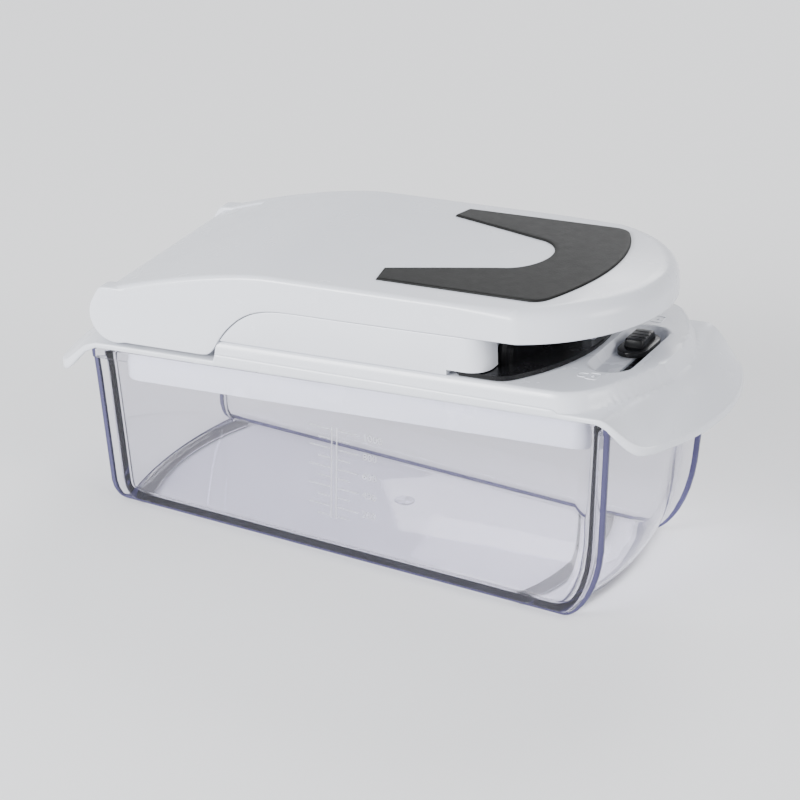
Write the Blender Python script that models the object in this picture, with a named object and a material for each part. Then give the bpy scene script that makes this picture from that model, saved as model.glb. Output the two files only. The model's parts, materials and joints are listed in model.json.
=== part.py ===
"""Hinged-lid vegetable chopper on a clear catch container.

The container is a wedge: its rim rises toward the front, so everything above the rim is modelled
in a tilted frame whose height 0 is the rim plane. In that frame x runs to the latch end, y to the
far side and z is the height above the rim. All named sizes are millimetres.
"""
import bpy
import bmesh
from math import atan, atan2, cos, pi, sin, sqrt
from mathutils import Matrix, Vector

MM = 0.001

# ---- container ----
RIM_RISE = 0.096            # rise of the rim plane per unit of length
RIM_MID = 81.2              # rim height above the table at x = 0
TUB_FRONT = 101.5           # front edge of the side walls at the rim
TUB_REAR = -118.0           # rear edge of the side walls near the table
TUB_HALF_TOP = 56.6         # half width under the rim lip
TUB_HALF_BOTTOM = 47.8      # half width near the table
TUB_WALL = 2.4
TUB_FLOOR = 3.4             # height of the inside floor
END_SETBACK = 6.5           # end wall behind the edge of the side walls
END_BOW = 6.0               # outward bow of the front end wall
REAR_SETBACK = 5.0          # rear end wall behind the rear edge of the side walls
REAR_BOW = 4.5              # outward bow of the rear end wall
REAR_DRAFT = 0.115          # rearward lean of the rear end per unit of height
SWEEP = 21.0                # the front edges of the side walls draw in by this much at the table
SWEEP_HEIGHT = 36.0         # height at which that sweep starts
WALL_SWEEP = 14.5           # the same for the front end wall
WALL_SWEEP_HEIGHT = 34.0
REAR_SWEEP = 10.0           # and for the rear edges and the rear end wall
REAR_WALL_SWEEP = 7.0
REAR_SWEEP_HEIGHT = 8.0
BASE_ROUNDING = 1.4         # rounding of the outer bottom edge
FLOOR_FILLET = 4.0          # rounding between the inside floor and the walls
CAVITY_CORNER = 5.0         # plan radius of the inside corners
RIM_LIP = 1.0               # thickness of the rim lip beyond the wall
RIM_LIP_DEPTH = 4.0
RIM_CLEAR = 0.5             # how far past the rim lip the handle lips stay level
STRIP_WIDTH = 6.5
STRIP_HALF = 43.0           # half length of an anti-slip strip
STRIP_BOW = 7.0
STRIP_THICK = 1.6
STRIP_STANDOFF = 0.5        # strips stand below the tub by this much
STRIP_FIT = 0.3             # strip to its groove, all round
STRIP_FRONT_APEX = 74.0     # outermost point of each strip's centre line
STRIP_REAR_APEX = 112.5

# ---- top frame ----
FRAME_HALF = 58.0           # overall half width, the widest piece
FLANGE_LOW = 0.3            # underside of the flange above the rim plane
FLANGE_TOP = 2.6
DECK_TOP = 10.5
DECK_WALL = 2.2
DECK_HALF = 56.0
DECK_FRONT = 109.0
DECK_BOW = 22.0
SKIRT_WALL = 1.8
SKIRT_DEPTH = 13.5
SKIRT_CLEAR = 0.6           # skirt to the inside of the tub at its lower edge
LIP_FRONT = 129.0
LIP_REAR = -150.0
LIP_THICK = 2.8
LIP_DROP = 9.0
LIP_DROP_RUN = 14.0         # the lip's edge falls over this length past the rim
LIP_FRONT_BOW = 18.0
LIP_FRONT_CORNER = 24.0
LIP_FRONT_ROOT = 89.0       # where the front lip leaves the deck
LIP_FRONT_RISE = 4.2        # height of that root above the flange at the middle
LIP_REAR_BOW = 12.0
LIP_REAR_CORNER = 14.0
LIP_REAR_ROOT = 9.0         # the rear lip starts this far inside its flange
DECK_GAP = 1.8              # deck to the lower front corner of the lid's rear skirt

# ---- hinge ----
HINGE_X = -115.0
HINGE_Z = 15.5
EAR_RADIUS = 12.0
EAR_WIDTH = 8.0
POST_RADIUS = 5.0
POST_WIDTH = 7.5
PIN_RADIUS = 2.5
PIN_LENGTH = 12.0
PIN_CLEAR = 0.1             # running clearance in the post
SIDE_GAP = 0.6              # between an ear and its post

# ---- lid ----
LID_HALF = 57.0
LID_WALL = 2.4
LID_TOP = 41.3              # height of the lid's top edge over its flat part
LID_CROWN = 2.4
LID_REAR = -121.0
LID_REAR_DROP = 15.3        # fall of the top from its flat part to the rear edge
LID_FALL_START = -45.0
NOSE_RADIUS = 60.0
NOSE_CENTRE = 44.0
LID_SKIRT_LOW = 4.2         # lower edge of the rear side skirts
LID_SKIRT_FRONT = -71.6
LID_SIDE_LOW = 27.4         # lower edge of the sides ahead of the arch
ARCH_END = -40.0
PAD_THICK = 0.9
PAD_GAP = 0.3               # glued and clipped pieces stand this far off their neighbours
PAD_ARM_REAR = -4.0         # tips of the grip's two arms
PAD_HALF = 45.5
PAD_FRONT = 81.0
PAD_NOTCH = 52.0            # bottom of the V between the arms

# ---- press housing, pusher and blades ----
SEAT_GAP = 0.4
HOUSING_HALF = 54.0
HOUSING_WALL = 2.0
HOUSING_REAR = -68.0
HOUSING_FRONT = 49.0
HOUSING_TOP = 34.5
WINDOW_HALF = 43.0          # open front of the housing, where the food guard shows
WINDOW_TOP = 27.0
BOSS_HALF = 3.5             # blocks that carry the housing under the lid
BOSS_Y = 40.0
CELLS_LONG = 6
CELLS_WIDE = 4
CELL = 17.5                 # blade spacing both ways
GRID_CENTRE = -6.0
BLADE_THICK = 0.5
BLADE_TOP = 10.2
BLADE_DEPTH = 7.0
BLADE_FIT = 0.3
TRAY_WALL = 2.4
TRAY_FLANGE = 1.9
TRAY_HALF = 50.5
TRAY_HEAD_HALF = 54.0
TRAY_FRONT = 76.0
TRAY_REAR = -65.0
TRAY_HEAD_REAR = 34.0
GUARD_TOP = 26.0
GUARD_WALL = 1.8
GUARD_FRONT = 60.0          # the food guard's bowed front at its foot
GUARD_HALF = 41.0
GUARD_LEAN = 3.0
BED_SKIN = 0.9              # tray wall left behind each blade's end
PUSHER_PLATE = 2.4
PEG_CLEAR = 0.6             # peg to blade
PEG_SPLIT = 1.4             # slot that splits each peg in four
PEG_TIP = 1.2               # pegs reach this far below the cutting edges

# ---- latch ----
SLOT_CENTRE_X = 87.0
SLOT_HALF_X = 7.6
SLOT_HALF_Y = 25.0
RECESS_FLOOR = 7.6
RECESS_PLATE = 2.0
LATCH_REST_Y = 10.0         # thumb piece at the open padlock
LATCH_TRAVEL = 20.0
NECK_X = 91.0
NECK_HALF_X = 1.4
NECK_HALF_Y = 5.5
NECK_CLEAR = 0.5
HOOK_X = 69.5
HOOK_WIDTH = 4.0
HOOK_THICK = 3.0
HOOK_FOOT = 6.0
HOOK_LOW = 0.2
HOOK_FLANGE_HALF_X = 7.0
HOOK_FLANGE_HALF_Y = 9.0
LATCH_PLATE_LOW = 3.0
LATCH_PLATE_THICK = 2.2
LATCH_PLATE_REAR = 7.0      # plate from this far behind the slot's centre
LATCH_PLATE_NEAR = 10.0     # and this far to the near side of the thumb piece
LATCH_PLATE_FAR = 16.5
BUTTON_HALF_Y = 12.0
BUTTON_CLEAR = 1.2          # thumb piece to the side of its recess
RIDGE_HALF_X = 4.6
RIDGE_NEAR = 3.5
RIDGE_FAR = 6.5
RIDGE_HEIGHT = 8.2

TILT = atan(RIM_RISE)


# ------------------------------------------------------------------ scene and helpers

def clearScene():
    for item in list(bpy.data.objects):
        bpy.data.objects.remove(item, do_unlink=True)


def material(name, colour, roughness, metallic=0.0, alpha=1.0):
    mat = bpy.data.materials.new(name)
    mat.use_nodes = True
    shader = mat.node_tree.nodes["Principled BSDF"]
    shader.inputs["Base Color"].default_value = (*colour, 1.0)
    shader.inputs["Roughness"].default_value = roughness
    shader.inputs["Metallic"].default_value = metallic
    shader.inputs["Alpha"].default_value = alpha
    return mat


def empty(name, parent, location, tilt=0.0):
    item = bpy.data.objects.new(name, None)
    bpy.context.collection.objects.link(item)
    item.parent = parent
    item.location = [value * MM for value in location]
    item.rotation_euler = (0.0, tilt, 0.0)
    return item


def meshObject(name, verts, faces, parent, origin=(0, 0, 0), mat=None):
    """One object; verts are millimetres in the frame its parent chain stands in."""
    mesh = bpy.data.meshes.new(name)
    shift = Vector(origin)
    mesh.from_pydata([(Vector(v) - shift) * MM for v in verts], [], faces)
    bm = bmesh.new()
    bm.from_mesh(mesh)
    bmesh.ops.remove_doubles(bm, verts=bm.verts, dist=1e-7)
    bmesh.ops.dissolve_degenerate(bm, dist=1e-7, edges=bm.edges)
    bmesh.ops.recalc_face_normals(bm, faces=bm.faces)
    bm.to_mesh(mesh)
    bm.free()
    mesh.shade_smooth()
    mesh.set_sharp_from_angle(angle=0.6)
    item = bpy.data.objects.new(name, mesh)
    bpy.context.collection.objects.link(item)
    item.parent = parent
    if mat:
        mesh.materials.append(mat)
    return item


def loft(loops):
    """Closed body through equal-length loops, with a cap on the first and the last."""
    count = len(loops[0])
    verts = [point for loop in loops for point in loop]
    faces = [tuple(range(count)), tuple(range(len(verts) - 1, len(verts) - count - 1, -1))]
    for level in range(len(loops) - 1):
        for k in range(count):
            a = level * count + k
            b = level * count + (k + 1) % count
            faces.append((a, a + count, b + count, b))
    return verts, faces


def prism(outline, low, high):
    return loft([[(x, y, z) for x, y in outline] for z in (low, high)])


def block(x0, x1, y0, y1, z0, z1):
    return prism([(x0, y0), (x1, y0), (x1, y1), (x0, y1)], z0, z1)


def turnedPin(cx, cz, radius, y0, y1, steps=32):
    ring = [(cx + radius * cos(2 * pi * k / steps), cz + radius * sin(2 * pi * k / steps))
            for k in range(steps)]
    return loft([[(x, y, z) for x, z in ring] for y in (y0, y1)])


def sheet(rows, lowRows):
    """Closed body between two grids of points with the same layout."""
    nu, nv = len(rows), len(rows[0])
    verts = [p for row in rows for p in row] + [p for row in lowRows for p in row]
    half = nu * nv
    faces = []
    for i in range(nu - 1):
        for j in range(nv - 1):
            a, b = i * nv + j, i * nv + j + 1
            c, d = a + nv + 1, a + nv
            faces += [(a, b, c, d), (a + half, d + half, c + half, b + half)]
    edge = list(range(nv))
    edge += [i * nv + nv - 1 for i in range(1, nu)]
    edge += [(nu - 1) * nv + j for j in range(nv - 2, -1, -1)]
    edge += [i * nv for i in range(nu - 2, 0, -1)]
    for k, a in enumerate(edge):
        b = edge[(k + 1) % len(edge)]
        faces.append((a, a + half, b + half, b))
    return verts, faces


def boolean(target, tool, operation):
    tool.hide_render = True
    tool.display_type = "WIRE"
    step = target.modifiers.new(operation.lower(), "BOOLEAN")
    step.operation = operation
    step.solver = "EXACT"
    step.object = tool


def cutWith(target, body, parent, origin=(0, 0, 0)):
    tool = meshObject(target.name + "_cutter", *body, parent, origin)
    boolean(target, tool, "DIFFERENCE")


def addTo(target, body, parent, origin=(0, 0, 0)):
    tool = meshObject(target.name + "_added", *body, parent, origin)
    boolean(target, tool, "UNION")


def bowEnd(apex, bow, half, corner, steps=12, cornerSteps=5):
    """Points from (-y side) to (+y side) of a front end: a bowed edge with filleted corners."""
    if bow <= 0:
        points = [(apex - corner + corner * sin(a), -half + corner - corner * cos(a))
                  for a in [pi / 2 * k / cornerSteps for k in range(cornerSteps + 1)]]
        return points + [(x, -y) for x, y in reversed(points)]
    radius = (half * half + bow * bow) / (2 * bow)
    centre = apex - radius
    cornerX = centre + sqrt((radius - corner) ** 2 - (half - corner) ** 2)
    turn = atan2(half - corner, cornerX - centre)
    points = []
    for k in range(cornerSteps):
        a = -pi / 2 + (pi / 2 - turn) * k / cornerSteps
        points.append((cornerX + corner * cos(a), -half + corner + corner * sin(a)))
    for k in range(steps + 1):
        a = -turn + 2 * turn * k / steps
        points.append((centre + radius * cos(a), radius * sin(a)))
    return points + [(x, -y) for x, y in reversed(points[:cornerSteps])]


def bowedOutline(rear, rearBow, front, frontBow, half, corner, rearCorner=None):
    ahead = bowEnd(front, frontBow, half, corner)
    behind = bowEnd(-rear, rearBow, half, rearCorner or corner)
    return ahead + [(-x, -y) for x, y in behind]


def filleted(corners, steps=4):
    """Outline through (x, y, radius) corners, each rounded by an arc."""
    points = []
    count = len(corners)
    for k, (x, y, radius) in enumerate(corners):
        here = Vector((x, y))
        back = (Vector(corners[k - 1][:2]) - here).normalized()
        ahead = (Vector(corners[(k + 1) % count][:2]) - here).normalized()
        if radius <= 0:
            points.append((x, y))
            continue
        spread = back.angle(ahead) / 2
        reach = radius / abs(sin(spread) / cos(spread))
        centre = here + (back + ahead).normalized() * (radius / sin(spread))
        start = here + back * reach - centre
        end = here + ahead * reach - centre
        sweep = start.angle_signed(end)
        for n in range(steps + 1):
            spun = start.copy()
            spun.rotate(Matrix.Rotation(-sweep * n / steps, 2))
            points.append(tuple(centre + spun))
    return points


def ease(value):
    value = min(max(value, 0.0), 1.0)
    return value * value * (3 - 2 * value)


# ------------------------------------------------------------------ container

def rimHeight(x):
    return RIM_MID + RIM_RISE * x


def toe(z, reach, height):
    """How far a wall draws in near the table, as a quarter ellipse."""
    if z >= height:
        return 0.0
    return reach * (1 - sqrt(max(0.0, 1 - ((height - z) / height) ** 2)))


def tubHalf(share):
    return TUB_HALF_BOTTOM + (TUB_HALF_TOP - TUB_HALF_BOTTOM) * share


def frontFin(z):
    return TUB_FRONT - toe(z, SWEEP, SWEEP_HEIGHT)


def frontWall(z):
    return TUB_FRONT - END_SETBACK - toe(z, WALL_SWEEP, WALL_SWEEP_HEIGHT)


def rearFin(z):
    return TUB_REAR - REAR_DRAFT * z + toe(z, REAR_SWEEP, REAR_SWEEP_HEIGHT)


def rearWall(z):
    return TUB_REAR - REAR_DRAFT * z + REAR_SETBACK + toe(z, REAR_WALL_SWEEP, REAR_SWEEP_HEIGHT)


def tubLoop(height, belowRim, grow=0.0):
    """One outer loop of the tub, level at a height or parallel to the rim plane."""
    def level(x):
        return height if belowRim is None else rimHeight(x) - belowRim
    zf, zr = level(TUB_FRONT), level(TUB_REAR)
    rounding = BASE_ROUNDING * max(0.0, 1 - zf / 2.0)
    points = []
    for side, z, fin, wall, bow in ((1, zf, frontFin, frontWall, END_BOW),
                                    (-1, zr, rearFin, rearWall, REAR_BOW)):
        half = tubHalf(z / rimHeight(side * TUB_FRONT)) + grow - rounding
        inner = half - TUB_WALL - grow * 2
        end = max(side * fin(z), side * wall(z) + 0.2)
        base = side * wall(z) + grow
        ends = [(end, -half), (end, -inner), (base, -inner)]
        arc = bowEnd(base + bow, bow, inner, 0.01, 12, 1)[1:-1]
        row = ends + arc + [(base, inner), (end, inner), (end, half)]
        points += [(side * x, side * y, level(side * x)) for x, y in row]
    return points


def cavityLoop(height, belowRim, inset=0.0):
    def level(x):
        return height if belowRim is None else rimHeight(x) - belowRim
    zf, zr = level(TUB_FRONT), level(TUB_REAR)
    points = []
    for side, z, wall, bow in ((1, zf, frontWall, END_BOW), (-1, zr, rearWall, REAR_BOW)):
        half = tubHalf(z / rimHeight(side * TUB_FRONT)) - TUB_WALL - inset
        base = side * wall(z) - TUB_WALL - inset
        arc = bowEnd(base + bow, bow, half, CAVITY_CORNER, 12, 4)
        points += [(side * x, side * y, level(side * x)) for x, y in arc]
    return points


def stripOutline(apex, side, clear=0.0):
    """Bowed bar with round ends, bowed toward its end of the tub."""
    radius = (STRIP_HALF ** 2 + STRIP_BOW ** 2) / (2 * STRIP_BOW)
    span = atan2(STRIP_HALF, radius - STRIP_BOW)
    half = STRIP_WIDTH / 2 + clear
    outer = [(apex - radius + (radius + half) * cos(a), (radius + half) * sin(a))
             for a in [span * (k / 6 - 1) for k in range(13)]]
    inner = [(apex - radius + (radius - half) * cos(a), (radius - half) * sin(a))
             for a in [span * (1 - k / 6) for k in range(13)]]

    def cap(sign):
        cx = apex - radius + radius * cos(span)
        cy = sign * radius * sin(span)
        start = sign * span
        return [(cx + half * cos(start + sign * pi * k / 6), cy + half * sin(start + sign * pi * k / 6))
                for k in range(1, 6)]
    row = outer + cap(1) + inner + list(reversed(cap(-1)))
    return [(side * x, side * y) for x, y in row]


def buildContainer(world, mats):
    low = STRIP_STANDOFF
    straight = rimHeight(TUB_REAR) - RIM_LIP_DEPTH
    heights = [straight * share for share in (0.18, 0.28, 0.4, 0.56, 0.8)]
    levels = [tubLoop(z, None) for z in [low, low + 0.8, low + 2, 5, 8] + heights]
    levels.append(tubLoop(0, RIM_LIP_DEPTH + RIM_LIP * 0.8))
    levels.append(tubLoop(0, RIM_LIP_DEPTH, RIM_LIP))
    levels.append(tubLoop(0, 0.0, RIM_LIP))
    tub = meshObject("container", *loft(levels), world, mat=mats["clear"])
    inside = [cavityLoop(TUB_FLOOR, None, FLOOR_FILLET),
              cavityLoop(TUB_FLOOR + FLOOR_FILLET * 0.3, None, FLOOR_FILLET * 0.3),
              cavityLoop(TUB_FLOOR + FLOOR_FILLET, None)]
    inside += [cavityLoop(z, None) for z in heights]
    inside += [cavityLoop(0, RIM_LIP_DEPTH), cavityLoop(0, -3.0)]
    cutWith(tub, loft(inside), world)
    for name, apex, side in (("grip_strip_rear", STRIP_REAR_APEX, -1),
                             ("grip_strip_front", STRIP_FRONT_APEX, 1)):
        groove = STRIP_THICK + STRIP_FIT
        cutWith(tub, prism(stripOutline(apex, side, STRIP_FIT), -1, groove), world)
        bar = prism(stripOutline(apex, side), 0, STRIP_THICK)
        meshObject(name, *bar, world, mat=mats["grip grey"])


# ------------------------------------------------------------------ top frame

def visor(outline, rootX, rimEnd, plateEnd, rootRise, side):
    """Drooping handle lip: a sheet from a straight root line out to its outline.

    Over the tub's rim its underside stays above the rim lip, and over the flange it is sunk in it.
    """
    top, low = [], []
    base = FLANGE_TOP - 0.3
    clearX = rimEnd + RIM_LIP + RIM_CLEAR
    for step in range(8):
        row, under = [], []
        for x, y in outline:
            atRim = min(max((clearX - rootX) / (x - rootX), 0.2), 0.9)
            share = (0, atRim * 0.5, atRim, *(atRim + (1 - atRim) * v for v in (0.3, 0.55, 0.78, 0.92)), 1)[step]
            edge = base - LIP_DROP * ease((x - rimEnd) / LIP_DROP_RUN)
            root = base + rootRise * (1 - min(abs(y) / FRAME_HALF, 1.0) ** 2)
            px = rootX + (x - rootX) * share
            py = y * (0.9 + 0.1 * share)
            pz = root + (edge - root) * share ** 2.6
            row.append((side * px, side * py, pz))
            tuck = 1.0 - 0.008 * share
            lowest = FLANGE_LOW + 0.25 if px < clearX + 0.01 else -99
            highest = FLANGE_TOP - 0.6 if px < plateEnd else 99
            under.append((side * (rootX + (px - rootX) * tuck), side * py * tuck,
                          min(max(pz - LIP_THICK, lowest), highest)))
        top.append(row)
        low.append(under)
    return sheet(top, low)


def hingeArc(radius, z):
    return HINGE_X + sqrt(radius ** 2 - (z - HINGE_Z) ** 2)


def skirtLoop(z, wall):
    """Outline of the skirt that drops inside the tub, wall in from its outer face."""
    spare = TUB_WALL + SKIRT_CLEAR + wall
    half = tubHalf(1 - SKIRT_DEPTH / RIM_MID) - spare
    front = TUB_FRONT - END_SETBACK + END_BOW - spare - 1.2
    rear = rearWall(rimHeight(TUB_REAR) - SKIRT_DEPTH) - REAR_BOW + spare + 1.8
    return [(x, y, z) for x, y in bowedOutline(rear, REAR_BOW, front, END_BOW, half, 7.0 - wall)]


def latchSlotOutline(halfX, halfY, steps=8):
    ring = []
    for sign in (1, -1):
        for k in range(steps + 1):
            a = sign * pi / 2 - pi / 2 + pi * k / steps
            ring.append((SLOT_CENTRE_X + halfX * cos(a), sign * (halfY - halfX) + halfX * sin(a)))
    return ring


def trayBodySize(grow=0.0):
    halfX = CELLS_LONG * CELL / 2 + TRAY_WALL + grow
    halfY = CELLS_WIDE * CELL / 2 + TRAY_WALL + grow
    return GRID_CENTRE - halfX, GRID_CENTRE + halfX, halfY


def postSpan(sign):
    outer = LID_HALF - EAR_WIDTH - SIDE_GAP
    return sorted((sign * (outer - POST_WIDTH), sign * outer))


def buildFrame(rim, mats):
    white = mats["white"]
    front = bowEnd(LIP_FRONT, LIP_FRONT_BOW, FRAME_HALF, LIP_FRONT_CORNER, 14, 12)
    rear = bowEnd(-LIP_REAR, LIP_REAR_BOW, FRAME_HALF - 0.4, LIP_REAR_CORNER, 14, 8)
    flangeFront, flangeRear = front[0][0] + 1.3, rear[0][0] + 1.0
    plate = [(flangeFront, -FRAME_HALF), (flangeFront, FRAME_HALF),
             (-flangeRear, FRAME_HALF - 0.4), (-flangeRear, 0.4 - FRAME_HALF)]
    frame = meshObject("top_frame", *prism(plate, FLANGE_LOW, FLANGE_TOP), rim, mat=white)

    deckRadius = LID_SKIRT_FRONT - HINGE_X + DECK_GAP

    def deckLoop(z, inset):
        backEnd = hingeArc(deckRadius, z) + inset
        outline = bowedOutline(backEnd, 0, DECK_FRONT - inset, DECK_BOW, DECK_HALF + 1.2 - inset, 9, 2)
        return [(x, y, z) for x, y in outline]
    addTo(frame, loft([deckLoop(FLANGE_TOP - 1, 0.0), deckLoop(5, 0.1), deckLoop(8, 0.6),
                       deckLoop(DECK_TOP - 0.9, 1.3), deckLoop(DECK_TOP - 0.2, 2.0),
                       deckLoop(DECK_TOP, 3.0)]), rim)
    addTo(frame, visor(front, LIP_FRONT_ROOT, TUB_FRONT, flangeFront, LIP_FRONT_RISE, 1), rim)
    addTo(frame, visor(rear, flangeRear - LIP_REAR_ROOT, -rearFin(rimHeight(TUB_REAR)), flangeRear,
                       0.0, -1), rim)
    addTo(frame, loft([skirtLoop(-SKIRT_DEPTH, 0), skirtLoop(FLANGE_LOW + 1, 0)]), rim)

    backHollow = hingeArc(deckRadius, DECK_TOP) + DECK_WALL
    inner = skirtLoop(0, SKIRT_WALL)
    throatHalf = max(y for _, y, _ in inner)
    throatFront = max(x for x, _, _ in inner)
    cutWith(frame, loft([skirtLoop(-SKIRT_DEPTH - 2, SKIRT_WALL), skirtLoop(FLANGE_LOW, SKIRT_WALL)]),
            rim)
    well = bowedOutline(backHollow, 0, throatFront, END_BOW, throatHalf, 5.2, 2)
    cutWith(frame, prism(well, -SKIRT_DEPTH / 2, FLANGE_TOP + 1.5), rim)
    hollow = bowedOutline(backHollow, 0, DECK_FRONT - DECK_WALL - 1.4, DECK_BOW,
                          DECK_HALF - DECK_WALL - 0.6, 8, 2)
    cutWith(frame, prism(hollow, FLANGE_TOP + 1.0, DECK_TOP - DECK_WALL), rim)

    pan = latchSlotOutline(SLOT_HALF_X + 1.6, SLOT_HALF_Y + 1.6)
    addTo(frame, prism(pan, RECESS_FLOOR - RECESS_PLATE, DECK_TOP - DECK_WALL / 2), rim)
    cutWith(frame, prism(latchSlotOutline(SLOT_HALF_X, SLOT_HALF_Y), RECESS_FLOOR, DECK_TOP + 1), rim)
    halfTravel = LATCH_TRAVEL / 2 + NECK_HALF_Y + NECK_CLEAR
    middle = LATCH_REST_Y - LATCH_TRAVEL / 2
    cutWith(frame, block(NECK_X - NECK_HALF_X - NECK_CLEAR, NECK_X + NECK_HALF_X + NECK_CLEAR,
                         middle - halfTravel, middle + halfTravel, 0, DECK_TOP), rim)
    x0, x1, y1 = trayBodySize(0.4)
    cutWith(frame, block(x0, x1, -y1, y1, FLANGE_TOP, DECK_TOP + 1), rim)
    cutWith(frame, hookPassage(FLANGE_TOP, DECK_TOP + 1), rim)

    for sign in (-1, 1):
        y0, y1 = postSpan(sign)
        arch = [(HINGE_X + POST_RADIUS * cos(pi * k / 12), HINGE_Z + POST_RADIUS * sin(pi * k / 12))
                for k in range(13)]
        arch += [(HINGE_X - POST_RADIUS, FLANGE_TOP - 1), (HINGE_X + POST_RADIUS, FLANGE_TOP - 1)]
        addTo(frame, loft([[(x, y, z) for x, z in arch] for y in (y0, y1)]), rim)
        cutWith(frame, turnedPin(HINGE_X, HINGE_Z, PIN_RADIUS + PIN_CLEAR, y0 - 1, y1 + 1), rim)


def hookPassage(low, high):
    """Opening that the lid's hook drops through."""
    return block(HOOK_X - HOOK_WIDTH / 2 - 1.2, HOOK_X + HOOK_WIDTH / 2 + 1.5,
                 -HOOK_THICK / 2 - 1.2, HOOK_THICK / 2 + HOOK_FOOT + 1.2, low, high)


# ------------------------------------------------------------------ blade insert

def bladeLines(count, centre):
    return [centre + CELL * (k - count / 2) for k in range(1, count)]


def buildBladeInsert(rim, mats):
    low = DECK_TOP + PAD_GAP
    corner = [(TRAY_REAR + 6 - 6 * sin(a), -TRAY_HALF + 6 - 6 * cos(a))
              for a in [pi / 2 * (1 - k / 4) for k in range(5)]]
    side = corner + [(TRAY_HEAD_REAR, -TRAY_HALF), (TRAY_HEAD_REAR + 3, -TRAY_HEAD_HALF)]
    head = bowEnd(TRAY_FRONT, 20, TRAY_HEAD_HALF, 10.0, 14, 5)
    outline = side + head + [(x, -y) for x, y in reversed(side)]
    tray = meshObject("blade_tray", *prism(outline, low, low + TRAY_FLANGE), rim, mat=mats["black"])
    x0, x1, y1 = trayBodySize()
    bottom = BLADE_TOP - BLADE_DEPTH - 1.0
    addTo(tray, block(x0, x1, -y1, y1, bottom, low + TRAY_FLANGE / 2), rim)
    wide, tall = CELLS_LONG * CELL / 2, CELLS_WIDE * CELL / 2
    cutWith(tray, block(GRID_CENTRE - wide, GRID_CENTRE + wide, -tall, tall, bottom - 1,
                        low + TRAY_FLANGE + 1), rim)
    cutWith(tray, hookPassage(low - 1, low + TRAY_FLANGE + 1), rim)

    guard, back = [], []
    for share in (0.0, 0.5, 1.0):
        z = low + TRAY_FLANGE / 2 + share * (GUARD_TOP - low)
        row = bowEnd(GUARD_FRONT + GUARD_LEAN * share ** 2, 8, GUARD_HALF, 4.0, 12, 3)
        guard.append([(x, y, z) for x, y in row])
        back.append([(x - GUARD_WALL, y, z) for x, y in row])
    addTo(tray, sheet(guard, back), rim)

    base = BLADE_TOP - BLADE_DEPTH
    half = BLADE_THICK / 2
    for bed in bladeBeds():
        cutWith(tray, bed, rim)
    reach = TRAY_WALL - BED_SKIN
    for n, y in enumerate(bladeLines(CELLS_WIDE, 0.0)):
        knife = meshObject("long_blade_%d" % (n + 1),
                           *block(GRID_CENTRE - wide - reach, GRID_CENTRE + wide + reach,
                                  y - half, y + half, base, BLADE_TOP), rim, mat=mats["steel"])
        for x in bladeLines(CELLS_LONG, GRID_CENTRE):
            cutWith(knife, block(x - half - BLADE_FIT, x + half + BLADE_FIT, y - 2, y + 2,
                                 base + BLADE_DEPTH / 2 - BLADE_FIT, BLADE_TOP + 1), rim)
    for n, x in enumerate(bladeLines(CELLS_LONG, GRID_CENTRE)):
        knife = meshObject("cross_blade_%d" % (n + 1),
                           *block(x - half, x + half, -tall - reach, tall + reach,
                                  base, BLADE_TOP), rim, mat=mats["steel"])
        for y in bladeLines(CELLS_WIDE, 0.0):
            cutWith(knife, block(x - 2, x + 2, y - half - BLADE_FIT, y + half + BLADE_FIT,
                                 base - 1, base + BLADE_DEPTH / 2 + BLADE_FIT), rim)


def bladeBeds():
    """Slots in the tray walls that hold the blade ends."""
    half = BLADE_THICK / 2 + BLADE_FIT
    wide, tall = CELLS_LONG * CELL / 2, CELLS_WIDE * CELL / 2
    deep = TRAY_WALL - BED_SKIN + BLADE_FIT
    low, high = BLADE_TOP - BLADE_DEPTH - BLADE_FIT, BLADE_TOP + BLADE_FIT
    beds = []
    for y in bladeLines(CELLS_WIDE, 0.0):
        for sign in (-1, 1):
            near, far = sorted((GRID_CENTRE + sign * (wide - 1), GRID_CENTRE + sign * (wide + deep)))
            beds.append(block(near, far, y - half, y + half, low, high))
    for x in bladeLines(CELLS_LONG, GRID_CENTRE):
        for sign in (-1, 1):
            near, far = sorted((sign * (tall - 1), sign * (tall + deep)))
            beds.append(block(x - half, x + half, near, far, low, high))
    return beds


# ------------------------------------------------------------------ lid

def lidTop(x, y):
    """Height of the lid's outer surface."""
    fall = max(0.0, (LID_FALL_START - x) / (LID_FALL_START - LID_REAR))
    flat = ease((x - LID_REAR) / 70)
    crown = LID_CROWN * flat * (1 - (y / LID_HALF) ** 2)
    top = LID_TOP - LID_REAR_DROP * fall ** 1.55 + crown
    nose = NOSE_RADIUS - sqrt(max(x - NOSE_CENTRE, 0.0) ** 2 + y ** 2) if x > NOSE_CENTRE else 99.0
    edge = max(0.0, min(LID_HALF - abs(y), nose))
    radius = 3.0 + 4.0 * ease((x - 50) / 40)
    if edge < radius:
        top -= radius - sqrt(radius ** 2 - (radius - edge) ** 2)
    return top


def lidSideLow(x):
    """Lower edge of the lid's side, with the arch over the press housing."""
    if x < HINGE_X:
        return HINGE_Z - sqrt(max(0.0, (HINGE_Z - LID_SKIRT_LOW) ** 2 - (x - HINGE_X) ** 2))
    if x < LID_SKIRT_FRONT:
        return LID_SKIRT_LOW
    share = min((x - LID_SKIRT_FRONT) / (ARCH_END - LID_SKIRT_FRONT), 1.0)
    return LID_SKIRT_LOW + (LID_SIDE_LOW - LID_SKIRT_LOW) * sqrt(1 - (1 - share) ** 2)


def noseFront(y, inset=0.0):
    radius = NOSE_RADIUS - inset
    return NOSE_CENTRE + sqrt(radius ** 2 - y ** 2)


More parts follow.
